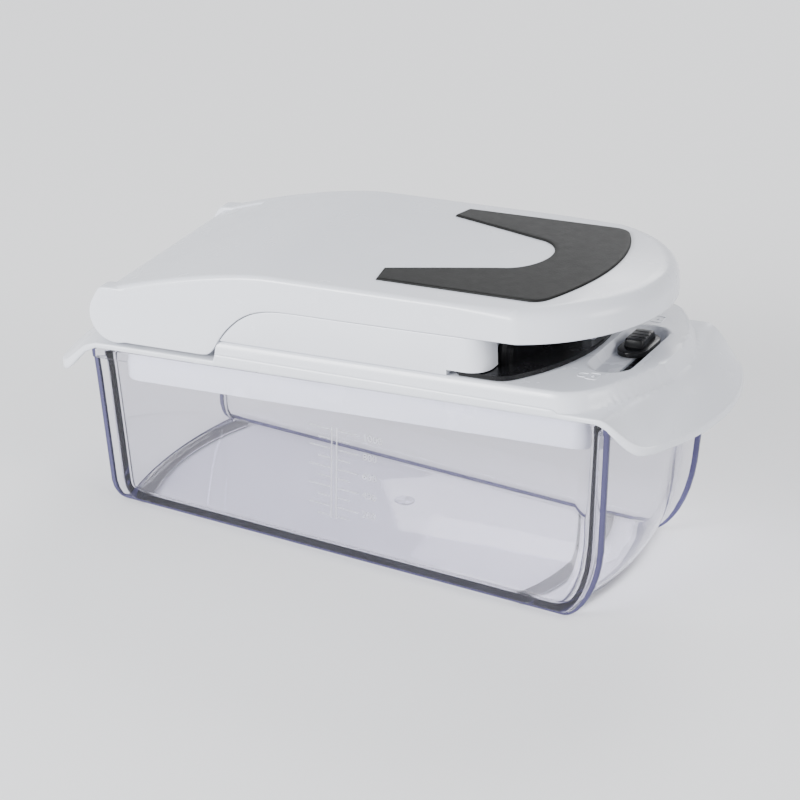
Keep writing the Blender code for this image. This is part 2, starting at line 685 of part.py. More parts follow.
def lidGrid(inset, sink):
    """Rows of points over the lid in plan; sink lowers the surface for the inner skin."""
    half = LID_HALF - inset
    xs = [LID_REAR + inset] + [LID_REAR + v for v in (4, 9, 18, 28, 38, 48)]
    xs += [LID_SKIRT_FRONT + v for v in (0, 0.8, 2.5, 5.5, 10, 17, 25, 31.6)]
    xs += [-30, -15, 0, 20, 40]
    shares = [0.15, 0.35, 0.55, 0.72, 0.85, 0.93, 0.975, 1.0]
    across = [-1, -0.985, -0.95, -0.88, -0.75, -0.55, -0.3, 0, 0.3, 0.55, 0.75, 0.88, 0.95, 0.985, 1]
    rows = []
    for x in xs:
        rows.append([(x, half * v, lidTop(x, LID_HALF * v) - sink) for v in across])
    last = xs[-1]
    for share in shares:
        row = []
        for v in across:
            y = half * v
            x = last + (noseFront(y, inset) - last) * share
            outerX = last + (noseFront(LID_HALF * v) - last) * share
            row.append((x, y, lidTop(outerX, LID_HALF * v) - sink))
        rows.append(row)
    return rows


def lidShellBody():
    outer, inner = lidGrid(0.0, 0.0), lidGrid(LID_WALL, LID_WALL)
    nu, nv = len(outer), len(outer[0])
    ring = [(i, 0) for i in range(nu)] + [(nu - 1, j) for j in range(1, nv)]
    ring += [(i, nv - 1) for i in range(nu - 2, -1, -1)] + [(0, j) for j in range(nv - 2, 0, -1)]

    def lowEdge(i, j, x):
        if i == 0:
            if 0 < j < nv - 1:
                return lidTop(x, 0) - 3.4
            return lidSideLow(x)
        if i == nu - 1:
            return LID_SIDE_LOW + 1.4
        return lidSideLow(x)
    verts, faces = [], []
    index = {}

    def put(key, point):
        index[key] = len(verts)
        verts.append(point)
    for name, rows in (("outer", outer), ("inner", inner)):
        for i in range(nu):
            for j in range(nv):
                put((name, i, j), rows[i][j])
        for i, j in ring:
            x, y, z = rows[i][j]
            put((name, "low", i, j), (x, y, min(lowEdge(i, j, outer[i][j][0]), z - 0.5)))
    for name, turn in (("outer", 1), ("inner", -1)):
        for i in range(nu - 1):
            for j in range(nv - 1):
                face = [index[(name, i, j)], index[(name, i + 1, j)],
                        index[(name, i + 1, j + 1)], index[(name, i, j + 1)]]
                faces.append(tuple(face[::turn]))
        for k, (i, j) in enumerate(ring):
            m, n = ring[(k + 1) % len(ring)]
            face = [index[(name, i, j)], index[(name, "low", i, j)],
                    index[(name, "low", m, n)], index[(name, m, n)]]
            faces.append(tuple(face[::turn]))
    for k, (i, j) in enumerate(ring):
        m, n = ring[(k + 1) % len(ring)]
        faces.append((index[("outer", "low", i, j)], index[("inner", "low", i, j)],
                      index[("inner", "low", m, n)], index[("outer", "low", m, n)]))
    return verts, faces


def padOutline():
    """V-shaped grip: two arms toward the rear and a bowed front edge."""
    notch = [(PAD_NOTCH - 15.75 * (1 - cos(a)), 19.0 * sin(a)) for a in
             [pi / 2 * 0.92 * k / 7 for k in range(8)]]
    arm = [(PAD_ARM_REAR, PAD_HALF - 11.5), (PAD_ARM_REAR + 1.5, PAD_HALF - 0.5)]
    front = [p for p in bowEnd(PAD_FRONT, 13.0, PAD_HALF, 8.0, 10, 4) if p[1] >= -1e-6]
    upper = notch + arm + front[::-1]
    lower = [(x, -y) for x, y in reversed(upper) if abs(y) > 1e-6]
    return upper + lower


def buildLid(hinge, mats):
    axis = (HINGE_X, 0, HINGE_Z)
    shell = meshObject("lid_shell", *lidShellBody(), hinge, axis, mats["white"])
    for sign in (-1, 1):
        y0, y1 = sorted((sign * LID_HALF, sign * (LID_HALF - EAR_WIDTH)))
        round_ = [(HINGE_X + EAR_RADIUS * cos(2 * pi * k / 40), HINGE_Z + EAR_RADIUS * sin(2 * pi * k / 40))
                  for k in range(40)]
        addTo(shell, loft([[(x, y, z) for x, z in round_] for y in (y0, y1)]), hinge, axis)
    for sign in (-1, 1):
        start = LID_HALF - 1.0 - PIN_LENGTH - 0.4
        y0, y1 = sorted((sign * (start - 1), sign * (LID_HALF - 1.0 + 0.3)))
        cutWith(shell, turnedPin(HINGE_X, HINGE_Z, PIN_RADIUS + 0.3, y0, y1), hinge, axis)
        y0, y1 = sorted((sign * (LID_HALF - 1.0 - PIN_LENGTH), sign * (LID_HALF - 1.0)))
        meshObject("hinge_pin_near" if sign < 0 else "hinge_pin_far",
                   *turnedPin(HINGE_X, HINGE_Z, PIN_RADIUS, y0, y1), hinge, axis, mats["steel"])

    skin = sheet([[(x, y, z + PAD_GAP + PAD_THICK) for x, y, z in row] for row in lidGrid(2.0, 0.0)],
                 [[(x, y, z + PAD_GAP) for x, y, z in row] for row in lidGrid(2.0, 0.0)])
    pad = meshObject("grip_pad", *prism(padOutline(), 30, 60), hinge, axis, mats["pad"])
    tool = meshObject("grip_pad_skin", *skin, hinge, axis)
    boolean(pad, tool, "INTERSECT")

    buildHousing(hinge, axis, mats)
    buildPusher(hinge, axis, mats)
    top = lidTop(HOOK_X, 0) - LID_WALL - PAD_GAP
    hook = meshObject("lid_hook", *block(HOOK_X - HOOK_WIDTH / 2, HOOK_X + HOOK_WIDTH / 2,
                                         -HOOK_THICK / 2, HOOK_THICK / 2, HOOK_LOW, top),
                      hinge, axis, mats["white"])
    addTo(hook, block(HOOK_X - HOOK_WIDTH / 2, HOOK_X + HOOK_WIDTH / 2, 0,
                      HOOK_THICK / 2 + HOOK_FOOT, HOOK_LOW, HOOK_LOW + 2.3), hinge, axis)
    addTo(hook, block(HOOK_X - HOOK_FLANGE_HALF_X, HOOK_X + HOOK_FLANGE_HALF_X, -HOOK_FLANGE_HALF_Y,
                      HOOK_FLANGE_HALF_Y, top - 2.2, top), hinge, axis)


def buildHousing(hinge, axis, mats):
    low = DECK_TOP + SEAT_GAP
    outer = bowedOutline(HOUSING_REAR, 0, HOUSING_FRONT, 0, HOUSING_HALF, 8, 3)
    t = HOUSING_WALL
    inner = bowedOutline(HOUSING_REAR + t, 0, HOUSING_FRONT - t, 0, HOUSING_HALF - t, 6, 1)
    housing = meshObject("press_housing", *prism(outer, low, HOUSING_TOP), hinge, axis, mats["white"])
    cutWith(housing, prism(inner, low - 1, HOUSING_TOP - t), hinge, axis)
    cutWith(housing, block(HOUSING_FRONT - 6, HOUSING_FRONT + 2, -WINDOW_HALF, WINDOW_HALF,
                           low - 1, WINDOW_TOP), hinge, axis)
    clear = DECK_TOP + PAD_GAP + TRAY_FLANGE + SEAT_GAP
    cutWith(housing, block(TRAY_HEAD_REAR - 1.5, HOUSING_FRONT + 2, -HOUSING_HALF - 2, HOUSING_HALF + 2,
                           low - 1, clear), hinge, axis)
    for x in (HOUSING_REAR + 14, HOUSING_FRONT - 9):
        for y in (-BOSS_Y, BOSS_Y):
            skinY = (BOSS_Y + BOSS_HALF + 0.5) * LID_HALF / (LID_HALF - LID_WALL)
            top = min(lidTop(x - BOSS_HALF, skinY), lidTop(x + BOSS_HALF, skinY)) - LID_WALL - PAD_GAP
            addTo(housing, block(x - BOSS_HALF, x + BOSS_HALF, y - BOSS_HALF, y + BOSS_HALF,
                                 HOUSING_TOP - 1, top), hinge, axis)


def buildPusher(hinge, axis, mats):
    top = HOUSING_TOP - HOUSING_WALL - PAD_GAP
    base = top - PUSHER_PLATE
    tip = BLADE_TOP - PEG_TIP
    wide, tall = CELLS_LONG * CELL / 2, CELLS_WIDE * CELL / 2
    pusher = meshObject("pusher_grid", *block(GRID_CENTRE - wide, GRID_CENTRE + wide, -tall, tall,
                                              base, top), hinge, axis, mats["white"])
    verts, faces = [], []
    half = CELL / 2 - BLADE_THICK / 2 - PEG_CLEAR
    for i in range(CELLS_LONG):
        for j in range(CELLS_WIDE):
            cx = GRID_CENTRE + CELL * (i + 0.5) - wide
            cy = CELL * (j + 0.5) - tall
            for sx in (-1, 1):
                for sy in (-1, 1):
                    x0, x1 = sorted((cx + sx * PEG_SPLIT / 2, cx + sx * half))
                    y0, y1 = sorted((cy + sy * PEG_SPLIT / 2, cy + sy * half))
                    body, sides = block(x0, x1, y0, y1, tip, base + 1)
                    faces += [tuple(v + len(verts) for v in side) for side in sides]
                    verts += body
    addTo(pusher, (verts, faces), hinge, axis)


# ------------------------------------------------------------------ latch

def buildLatch(slider, mats):
    rest = (SLOT_CENTRE_X, LATCH_REST_Y, RECESS_FLOOR)
    y = LATCH_REST_Y
    low = RECESS_FLOOR + PAD_GAP
    halfX = SLOT_HALF_X - BUTTON_CLEAR

    def oval(inset, z):
        hx, hy = halfX - inset, BUTTON_HALF_Y - inset
        ring = []
        for sign in (1, -1):
            for k in range(9):
                a = sign * pi / 2 - pi / 2 + pi * k / 8
                ring.append((SLOT_CENTRE_X + hx * cos(a), y + sign * (hy - hx) + hx * sin(a), z))
        return ring
    button = meshObject("latch_button", *loft([oval(0, low), oval(0, low + 1.6), oval(0.8, low + 2.3)]),
                        slider, rest, mats["black"])
    ridge = []
    for inX, inY, z in ((0, 0, low + 1), (0.6, 1.2, low + RIDGE_HEIGHT)):
        x0, x1 = SLOT_CENTRE_X - RIDGE_HALF_X + inX, SLOT_CENTRE_X + RIDGE_HALF_X - inX
        y0, y1 = y - RIDGE_NEAR + inY, y + RIDGE_FAR - inY
        outline = filleted([(x0, y0, 1), (x1, y0, 1), (x1, y1, 1), (x0, y1, 1)], 3)
        ridge.append([(a, b, z) for a, b in outline])
    addTo(button, loft(ridge), slider, rest)

    plateTop = LATCH_PLATE_LOW + LATCH_PLATE_THICK
    addTo(button, block(NECK_X - NECK_HALF_X, NECK_X + NECK_HALF_X, y - NECK_HALF_Y, y + NECK_HALF_Y,
                        plateTop + PAD_GAP, low + 1), slider, rest)
    plate = meshObject("latch_plate",
                       *block(SLOT_CENTRE_X - LATCH_PLATE_REAR, NECK_X + NECK_HALF_X + 0.2,
                              y - LATCH_PLATE_NEAR, y + LATCH_PLATE_FAR, LATCH_PLATE_LOW, plateTop),
                       slider, rest, mats["black"])
    reach = HOOK_X - HOOK_WIDTH / 2 - 1
    tongue = LATCH_TRAVEL + HOOK_THICK / 2 + 0.5
    addTo(plate, block(reach, SLOT_CENTRE_X, tongue, tongue + HOOK_FOOT - 1, LATCH_PLATE_LOW, plateTop),
          slider, rest)


def centreOnTable(world):
    """Move everything so that the origin is under the middle of the whole object."""
    scene = bpy.context.evaluated_depsgraph_get()
    xs = []
    for item in bpy.data.objects:
        if item.type == "MESH" and not item.hide_render:
            solid = item.evaluated_get(scene)
            xs += [(solid.matrix_world @ v.co).x for v in solid.data.vertices]
    world.location.x -= (min(xs) + max(xs)) / 2


def main():
    clearScene()
    mats = {
        "clear": material("clear plastic", (0.86, 0.88, 0.92), 0.05, alpha=0.35),
        "white": material("white plastic", (0.82, 0.84, 0.88), 0.28),
        "black": material("black plastic", (0.012, 0.012, 0.014), 0.2),
        "pad": material("soft grip", (0.045, 0.046, 0.045), 0.6),
        "grip grey": material("anti-slip rubber", (0.24, 0.24, 0.25), 0.65),
        "steel": material("blade steel", (0.62, 0.63, 0.64), 0.22, metallic=1.0),
    }
    world = empty("table", None, (0, 0, 0))
    rim = empty("rim_frame", world, (0, 0, RIM_MID), -TILT)
    hinge = empty("lid_axis", rim, (HINGE_X, 0, HINGE_Z))
    slider = empty("latch_rest", rim, (SLOT_CENTRE_X, LATCH_REST_Y, RECESS_FLOOR))
    buildContainer(world, mats)
    buildFrame(rim, mats)
    buildBladeInsert(rim, mats)
    buildLid(hinge, mats)
    buildLatch(slider, mats)
    centreOnTable(world)


main()
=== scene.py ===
import json
from math import asin, atan2, cos, exp, hypot, pi, radians, sin, sqrt

import bmesh
import bpy
from mathutils import Matrix, Vector


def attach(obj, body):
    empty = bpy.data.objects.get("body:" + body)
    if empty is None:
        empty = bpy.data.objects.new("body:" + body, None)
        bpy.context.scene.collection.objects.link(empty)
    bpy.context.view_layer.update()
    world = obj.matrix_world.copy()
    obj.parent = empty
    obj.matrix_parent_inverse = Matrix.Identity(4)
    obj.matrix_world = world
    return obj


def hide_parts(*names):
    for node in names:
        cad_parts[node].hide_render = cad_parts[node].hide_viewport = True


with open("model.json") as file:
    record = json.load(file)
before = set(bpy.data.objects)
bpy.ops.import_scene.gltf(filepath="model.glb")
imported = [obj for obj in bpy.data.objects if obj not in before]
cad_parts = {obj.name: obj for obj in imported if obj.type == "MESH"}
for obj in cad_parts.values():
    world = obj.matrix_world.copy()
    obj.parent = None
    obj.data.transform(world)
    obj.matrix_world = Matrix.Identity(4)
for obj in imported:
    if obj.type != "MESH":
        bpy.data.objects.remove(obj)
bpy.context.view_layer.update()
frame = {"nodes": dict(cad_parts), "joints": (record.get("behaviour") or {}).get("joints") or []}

# Lengths are millimetres, apart from the lamps, the floor and the camera, which are in metres. Above
# the rim the work is in a tilted space: height 0 is the rim plane, x runs to the latch end and y to
# the far side. The tub is in table space.
joints = {joint["name"]: joint for joint in frame["joints"]}
liftAxis = Vector(joints["frame_lift"]["axis"])
hingeWorld = Vector(joints["lid_hinge"]["pos_m"]) * 1000
tilt = atan2(-liftAxis.x, liftAxis.z)
tiltTurn = Matrix.Rotation(-tilt, 3, "Y")
hingeX, hingeZ = -115.0, 15.5
rimOrigin = hingeWorld - tiltTurn @ Vector((hingeX, 0, hingeZ))
rimRise = liftAxis.x / -liftAxis.z


def rimSpace(point):
    return tiltTurn @ Vector(point) + rimOrigin


def tableSpace(point):
    return Vector((point[0] + rimOrigin.x, point[1], point[2]))


def rimHeight(x):
    return rimOrigin.z + rimRise * x


# small maths

def clamp(value, low=0.0, high=1.0):
    return min(max(value, low), high)


def ease(value):
    value = clamp(value)
    return value * value * (3 - 2 * value)


def softMin(a, b, reach):
    overlap = max(reach - abs(a - b), 0.0) / reach
    return min(a, b) - overlap * overlap * reach / 4


def spread(low, high, count):
    return [low + (high - low) * k / (count - 1) for k in range(count)]


def throughKnots(knots, x):
    # smooth curve through (x, value) knots
    if x <= knots[0][0]:
        return knots[0][1]
    for k in range(len(knots) - 1):
        (x0, v0), (x1, v1) = knots[k], knots[k + 1]
        if x <= x1:
            before = knots[max(k - 1, 0)]
            after = knots[min(k + 2, len(knots) - 1)]
            slope0 = (v1 - before[1]) / max(x1 - before[0], 1e-6)
            slope1 = (after[1] - v0) / max(after[0] - x0, 1e-6)
            t, step = (x - x0) / (x1 - x0), x1 - x0
            return ((2 * t ** 3 - 3 * t * t + 1) * v0 + (t ** 3 - 2 * t * t + t) * step * slope0
                    + (3 * t * t - 2 * t ** 3) * v1 + (t ** 3 - t * t) * step * slope1)
    return knots[-1][1]


def roundCorner(before, corner, after, radius, steps):
    # arc points that round one corner of an outline
    here = Vector(corner)
    back = (Vector(before) - here).normalized()
    ahead = (Vector(after) - here).normalized()
    half = back.angle(ahead) / 2
    centre = here + (back + ahead).normalized() * (radius / sin(half))
    start = here + back * (radius * cos(half) / sin(half)) - centre
    end = here + ahead * (radius * cos(half) / sin(half)) - centre
    sweep = start.angle_signed(end)
    points = []
    for k in range(steps + 1):
        arm = start.copy()
        arm.rotate(Matrix.Rotation(-sweep * k / steps, 2))
        points.append(tuple(centre + arm))
    return points


def bowedEnd(apex, bow, half, corner, arcSteps=16, cornerSteps=6):
    # front end of an outline from the near side to the far side: bowed, with round corners
    radius = (half * half + bow * bow) / (2 * bow)
    centre = apex - radius
    cornerX = centre + sqrt((radius - corner) ** 2 - (half - corner) ** 2)
    turn = atan2(half - corner, cornerX - centre)
    points = []
    for k in range(cornerSteps):
        a = -pi / 2 + (pi / 2 - turn) * k / cornerSteps
        points.append((cornerX + corner * cos(a), -half + corner + corner * sin(a)))
    for a in spread(-turn, turn, arcSteps + 1):
        points.append((centre + radius * cos(a), radius * sin(a)))
    return points + [(x, -y) for x, y in reversed(points[:cornerSteps])]


def bowedOutline(rear, rearBow, front, frontBow, half, corner):
    ahead = bowedEnd(front, frontBow, half, corner)
    behind = bowedEnd(-rear, rearBow, half, corner)
    return ahead + [(-x, -y) for x, y in behind]


def circle(cx, cy, radius, count):
    turns = [2 * pi * k / count for k in range(count)]
    return [(cx + radius * cos(a), cy + radius * sin(a)) for a in turns]


def stadium(cx, cy, halfX, halfY, steps=16):
    ring = []
    for sign in (1, -1):
        for k in range(steps + 1):
            a = sign * pi / 2 - pi / 2 + pi * k / steps
            ring.append((cx + halfX * cos(a), cy + sign * (halfY - halfX) + halfX * sin(a)))
    return ring


def roundedBox(x0, x1, y0, y1, radius, steps=5):
    corners = [(x0, y0), (x1, y0), (x1, y1), (x0, y1)]
    points = []
    for k, corner in enumerate(corners):
        points += roundCorner(corners[k - 1], corner, corners[(k + 1) % 4], radius, steps)
    return points


def mirrored(shares, sign=1):
    # shares of the half width that end at 0, carried on to the other side
    return [sign * c for c in shares] + [-sign * c for c in shares[-2::-1]]


# mesh work

def loft(loops, capFirst=True, capLast=True, ring=False):
    count = len(loops[0])
    verts = [point for loop in loops for point in loop]
    faces = []
    if capFirst and not ring:
        faces.append(tuple(range(count)))
    if capLast and not ring:
        faces.append(tuple(range(len(verts) - 1, len(verts) - count - 1, -1)))
    for level in range(len(loops) if ring else len(loops) - 1):
        above = (level + 1) % len(loops)
        for k in range(count):
            n = (k + 1) % count
            faces.append((level * count + k, above * count + k, above * count + n, level * count + n))
    return verts, faces


def flatLoops(outlines):
    # loops from (outline, height) pairs
    return [[(x, y, z) for x, y in outline] for outline, z in outlines]


def block(x0, x1, y0, y1, z0, z1):
    return loft(flatLoops([([(x0, y0), (x1, y0), (x1, y1), (x0, y1)], z) for z in (z0, z1)]))


def joined(bodies):
    verts, faces = [], []
    for bodyVerts, bodyFaces in bodies:
        faces += [tuple(v + len(verts) for v in face) for face in bodyFaces]
        verts += bodyVerts
    return verts, faces


def rawMesh(name, body, space):
    verts, faces = body
    mesh = bpy.data.meshes.new(name)
    mesh.from_pydata([space(v) * 0.001 for v in verts], [], faces)
    bm = bmesh.new()
    bm.from_mesh(mesh)
    bmesh.ops.remove_doubles(bm, verts=bm.verts, dist=1e-7)
    bmesh.ops.dissolve_degenerate(bm, dist=1e-7, edges=bm.edges)
    bmesh.ops.recalc_face_normals(bm, faces=bm.faces)
    bm.to_mesh(mesh)
    bm.free()
    return mesh


def linked(name, data):
    item = bpy.data.objects.new(name, data)
    bpy.context.scene.collection.objects.link(item)
    return item


def finished(item):
    # mesh of an object with its modifiers applied
    bpy.context.view_layer.update()
    solid = item.evaluated_get(bpy.context.evaluated_depsgraph_get())
    return bpy.data.meshes.new_from_object(solid)


def cutOrJoin(mesh, body, space=rimSpace, operation="DIFFERENCE"):
    # Boolean a body with a mesh and give the result
    target = linked("boolTarget", mesh)
    tool = linked("boolTool", rawMesh("boolTool", body, space))
    step = target.modifiers.new("bool", "BOOLEAN")
    step.operation, step.solver, step.object = operation, "EXACT", tool
    result = finished(target)
    for item in (target, tool):
        bpy.data.objects.remove(item)
    return result


def bevelled(mesh, width, angle=35, segments=2):
    # melt the flat triangles together and round the sharp edges
    bm = bmesh.new()
    bm.from_mesh(mesh)
    bmesh.ops.dissolve_limit(bm, angle_limit=radians(1.0), verts=bm.verts, edges=bm.edges)
    bm.to_mesh(mesh)
    bm.free()
    item = linked("bevelTarget", mesh)
    step = item.modifiers.new("bevel", "BEVEL")
    step.width, step.segments = width * 0.001, segments
    step.limit_method, step.angle_limit = "ANGLE", radians(angle)
    result = finished(item)
    bpy.data.objects.remove(item)
    return result


def piece(name, mesh, look, body, replaces=(), crease=32):
    mesh.name = name
    item = linked(name, mesh)
    mesh.materials.clear()
    mesh.materials.append(look["material"])
    mesh.shade_smooth()
    mesh.set_sharp_from_angle(angle=radians(crease))
    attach(item, body)
    if replaces:
        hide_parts(*replaces)
    return item


def finerCopy(node, name, width, look, body):
    # a CAD node's shape with its edges rounded
    return piece(name, bevelled(frame["nodes"][node].data.copy(), width), look, body, (node,))


# materials

def newMaterial(name):
    mat = bpy.data.materials.new(name)
    mat.use_nodes = True
    return mat, mat.node_tree, mat.node_tree.nodes["Principled BSDF"]


def newNode(tree, kind, values):
    # a node with these values on its sockets
    node = tree.nodes.new("ShaderNode" + kind)
    setInputs(node, values)
    return node


def setInputs(node, values):
    for name, value in values.items():
        node.inputs[name].default_value = value


def noiseNode(tree, scale, detail=3.0, stretch=None):
    source = newNode(tree, "TexCoord", {}).outputs["Object"]
    noise = newNode(tree, "TexNoise", {"Scale": scale, "Detail": detail})
    if stretch:
        mapping = newNode(tree, "Mapping", {"Scale": stretch})
        tree.links.new(source, mapping.inputs["Vector"])
        source = mapping.outputs["Vector"]
    tree.links.new(source, noise.inputs["Vector"])
    return noise


def vary(tree, source, low, high, target):
    # noise values lie mostly between 0.3 and 0.7
    ranged = newNode(tree, "MapRange", {"From Min": 0.3, "From Max": 0.7, "To Min": low, "To Max": high})
    tree.links.new(source.outputs["Fac"], ranged.inputs["Value"])
    tree.links.new(ranged.outputs["Result"], target)


def tint(tree, source, dark, light, target):
    mix = newNode(tree, "Mix", {})
    mix.data_type = "RGBA"
    setInputs(mix, {"A": (*dark, 1), "B": (*light, 1)})
    tree.links.new(source.outputs["Fac"], mix.inputs["Factor"])
    tree.links.new(mix.outputs["Result"], target)


def bumpChain(tree, shader, layers):
    # layers are (source, output, strength, depth in mm)
    last = None
    for source, output, strength, depth in layers:
        bump = newNode(tree, "Bump", {"Strength": strength, "Distance": depth * 0.001})
        tree.links.new(source.outputs[output], bump.inputs["Height"])
        if last:
            tree.links.new(last.outputs["Normal"], bump.inputs["Normal"])
        last = bump
    tree.links.new(last.outputs["Normal"], shader.inputs["Normal"])


def mouldedPlastic(name, light, dark, roughness, gloss=0.5, grain=0.04, wave=0.25):
    mat, tree, shader = newMaterial(name)
    tint(tree, noiseNode(tree, 14.0), dark, light, shader.inputs["Base Color"])
    vary(tree, noiseNode(tree, 55.0), roughness * 0.85, roughness * 1.2, shader.inputs["Roughness"])
    fine, broad = noiseNode(tree, 2600.0, 2.0), noiseNode(tree, 22.0, 1.0)
    bumpChain(tree, shader, [(broad, "Fac", wave, 0.12), (fine, "Fac", grain, 0.02)])
    setInputs(shader, {"IOR": 1.5, "Specular IOR Level": gloss})
    return mat


whiteLook = {"light": (0.70, 0.715, 0.765), "dark": (0.675, 0.692, 0.745), "roughness": 0.24}
blackLook = {"light": (0.008, 0.008, 0.009), "dark": (0.005, 0.005, 0.006), "roughness": 0.24, "gloss": 0.22}
# the two edge entries make a painted shade: a darker, less clear violet for the tub's faces seen edge on
clearLook = {"tint": (0.93, 0.925, 0.95), "clarity": 0.985, "roughness": 0.02, "ior": 1.25,
             "absorb": (0.42, 0.40, 0.60), "density": 40.0, "lightThrough": (0.93, 0.93, 0.94),
             "paintedShadeTint": (0.10, 0.095, 0.19), "paintedShadeClarity": 0.35}
padLook = {"light": (0.0115, 0.0115, 0.011), "dark": (0.0098, 0.0098, 0.0095), "roughness": 0.55}
rubberLook = {"dark": (0.040, 0.040, 0.043), "light": (0.052, 0.052, 0.055), "roughness": (0.55, 0.72)}
steelLook = {"dark": (0.55, 0.56, 0.57), "light": (0.70, 0.71, 0.72), "roughness": (0.16, 0.32)}
markLook = {"dark": (0.52, 0.52, 0.56), "light": (0.60, 0.60, 0.64), "roughness": (0.35, 0.5), "alpha": 0.55}


def clearPlastic(name, tintColour, clarity):
    mat, tree, shader = newMaterial(name)
    setInputs(shader, {"Base Color": (*tintColour, 1), "Transmission Weight": clarity,
                       "IOR": clearLook["ior"]})
    rough = clearLook["roughness"]
    vary(tree, noiseNode(tree, 30.0), rough * 0.6, rough * 1.6, shader.inputs["Roughness"])
    bumpChain(tree, shader, [(noiseNode(tree, 26.0, 1.0), "Fac", 0.2, 0.1)])
    # lamps shine straight through the walls
    path = newNode(tree, "LightPath", {})
    through = newNode(tree, "BsdfTransparent", {"Color": (*clearLook["lightThrough"], 1)})
    mix = newNode(tree, "MixShader", {})
    links = tree.links
    links.new(path.outputs["Is Shadow Ray"], mix.inputs[0])
    links.new(shader.outputs["BSDF"], mix.inputs[1])
    links.new(through.outputs["BSDF"], mix.inputs[2])
    output = tree.nodes["Material Output"]
    links.new(mix.outputs["Shader"], output.inputs["Surface"])
    absorb = newNode(tree, "VolumeAbsorption",
                     {"Color": (*clearLook["absorb"], 1), "Density": clearLook["density"]})
    links.new(absorb.outputs["Volume"], output.inputs["Volume"])
    return mat


def softGrip():
    mat, tree, shader = newMaterial("soft grip")
    tint(tree, noiseNode(tree, 40.0), padLook["dark"], padLook["light"], shader.inputs["Base Color"])
    rough = padLook["roughness"]
    vary(tree, noiseNode(tree, 240.0), rough * 0.96, rough * 1.04, shader.inputs["Roughness"])
    leather = newNode(tree, "TexVoronoi", {"Scale": 1300.0})
    place = newNode(tree, "TexCoord", {})
    tree.links.new(place.outputs["Object"], leather.inputs["Vector"])
    fine = noiseNode(tree, 3200.0, 2.0)
    bumpChain(tree, shader, [(leather, "Distance", 0.5, 0.05), (fine, "Fac", 0.2, 0.02)])
    setInputs(shader, {"Specular IOR Level": 0.14})
    return mat


def rubber():
    mat, tree, shader = newMaterial("anti-slip rubber")
    tint(tree, noiseNode(tree, 60.0), rubberLook["dark"], rubberLook["light"], shader.inputs["Base Color"])
    vary(tree, noiseNode(tree, 300.0), *rubberLook["roughness"], shader.inputs["Roughness"])
    bumpChain(tree, shader, [(noiseNode(tree, 1800.0, 2.0), "Fac", 0.25, 0.03)])
    setInputs(shader, {"Specular IOR Level": 0.12})
    return mat


def bladeSteel():
    mat, tree, shader = newMaterial("blade steel")
    setInputs(shader, {"Metallic": 1.0})
    brush = noiseNode(tree, 500.0, 3.0, (1.0, 1.0, 14.0))
    tint(tree, brush, steelLook["dark"], steelLook["light"], shader.inputs["Base Color"])
    vary(tree, brush, *steelLook["roughness"], shader.inputs["Roughness"])
    bumpChain(tree, shader, [(brush, "Fac", 0.15, 0.01)])
    return mat


def frostedMark():
    mat, tree, shader = newMaterial("frosted mark")
    cloud = noiseNode(tree, 120.0)
    tint(tree, cloud, markLook["dark"], markLook["light"], shader.inputs["Base Color"])
    vary(tree, cloud, *markLook["roughness"], shader.inputs["Roughness"])
    setInputs(shader, {"Alpha": markLook["alpha"]})
    return mat


def paleFloor():
    mat, tree, shader = newMaterial("pale floor")
    tint(tree, noiseNode(tree, 1.2), (0.90, 0.90, 0.905), (0.92, 0.92, 0.925), shader.inputs["Base Color"])
    setInputs(shader, {"Roughness": 0.6, "Specular IOR Level": 0.2})
    return mat


white = {"slot": "white_plastic", "material": mouldedPlastic(
    "white plastic", whiteLook["light"], whiteLook["dark"], whiteLook["roughness"])}
black = {"slot": "black_plastic", "material": mouldedPlastic(
    "black plastic", blackLook["light"], blackLook["dark"], blackLook["roughness"], blackLook["gloss"], 0.08)}
clear = {"slot": "clear_plastic",
         "material": clearPlastic("clear plastic", clearLook["tint"], clearLook["clarity"])}
# painted shade: a darker, less clear violet copy of the clear plastic, for faces seen edge on
paintedEdgeShade = clearPlastic("clear plastic painted edge shade", clearLook["paintedShadeTint"], clearLook["paintedShadeClarity"])
pad = {"slot": "soft_pad", "material": softGrip()}
gripGrey = {"slot": "grip_grey", "material": rubber()}
steel = {"slot": "steel", "material": bladeSteel()}
mark = {"slot": "clear_plastic", "material": frostedMark()}
print("materials ready")


# catch tub, in table space

# the fin band entry is the depth of the painted edge shade on the fin tips
tub = {"front": 101.5, "rear": -118.0, "rearLean": 0.115, "halfTop": 56.6, "halfBottom": 47.8,
       "wall": 2.4, "floor": 3.4, "base": 0.5, "frontSetback": 6.5, "frontBow": 6.0,
       "rearSetback": 5.0, "rearBow": 4.5, "finSweep": (19.0, 36.0), "wallSweep": (14.5, 34.0),
       "rearSweep": (9.0, 8.0), "rearWallSweep": (6.5, 8.0), "baseRound": 1.7, "floorRound": 4.0,
       "rimLip": 1.0, "rimDepth": 4.0, "edgeRound": 0.6, "coveRound": 2.6, "paintedShadeBand": 2.1, "corner": 5.5}


def toe(z, sweep):
    reach, height = sweep
    if z >= height:
        return 0.0
    return reach * (1 - sqrt(max(0.0, 1 - ((height - z) / height) ** 2)))


def tubHalf(z, side):
    share = z / rimHeight(side * tub["front"])
    return tub["halfBottom"] + (tub["halfTop"] - tub["halfBottom"]) * share


def tubEnd(z, side):
    # edge of the side walls, and the end wall at its sides
    if side > 0:
        fin = tub["front"] - toe(z, tub["finSweep"])
        wall = tub["front"] - tub["frontSetback"] - toe(z, tub["wallSweep"])
        return fin, wall, tub["frontBow"]
    fin = -tub["rear"] + tub["rearLean"] * z - toe(z, tub["rearSweep"])
    wall = -tub["rear"] + tub["rearLean"] * z - tub["rearSetback"] - toe(z, tub["rearWallSweep"])
    return fin, wall, tub["rearBow"]


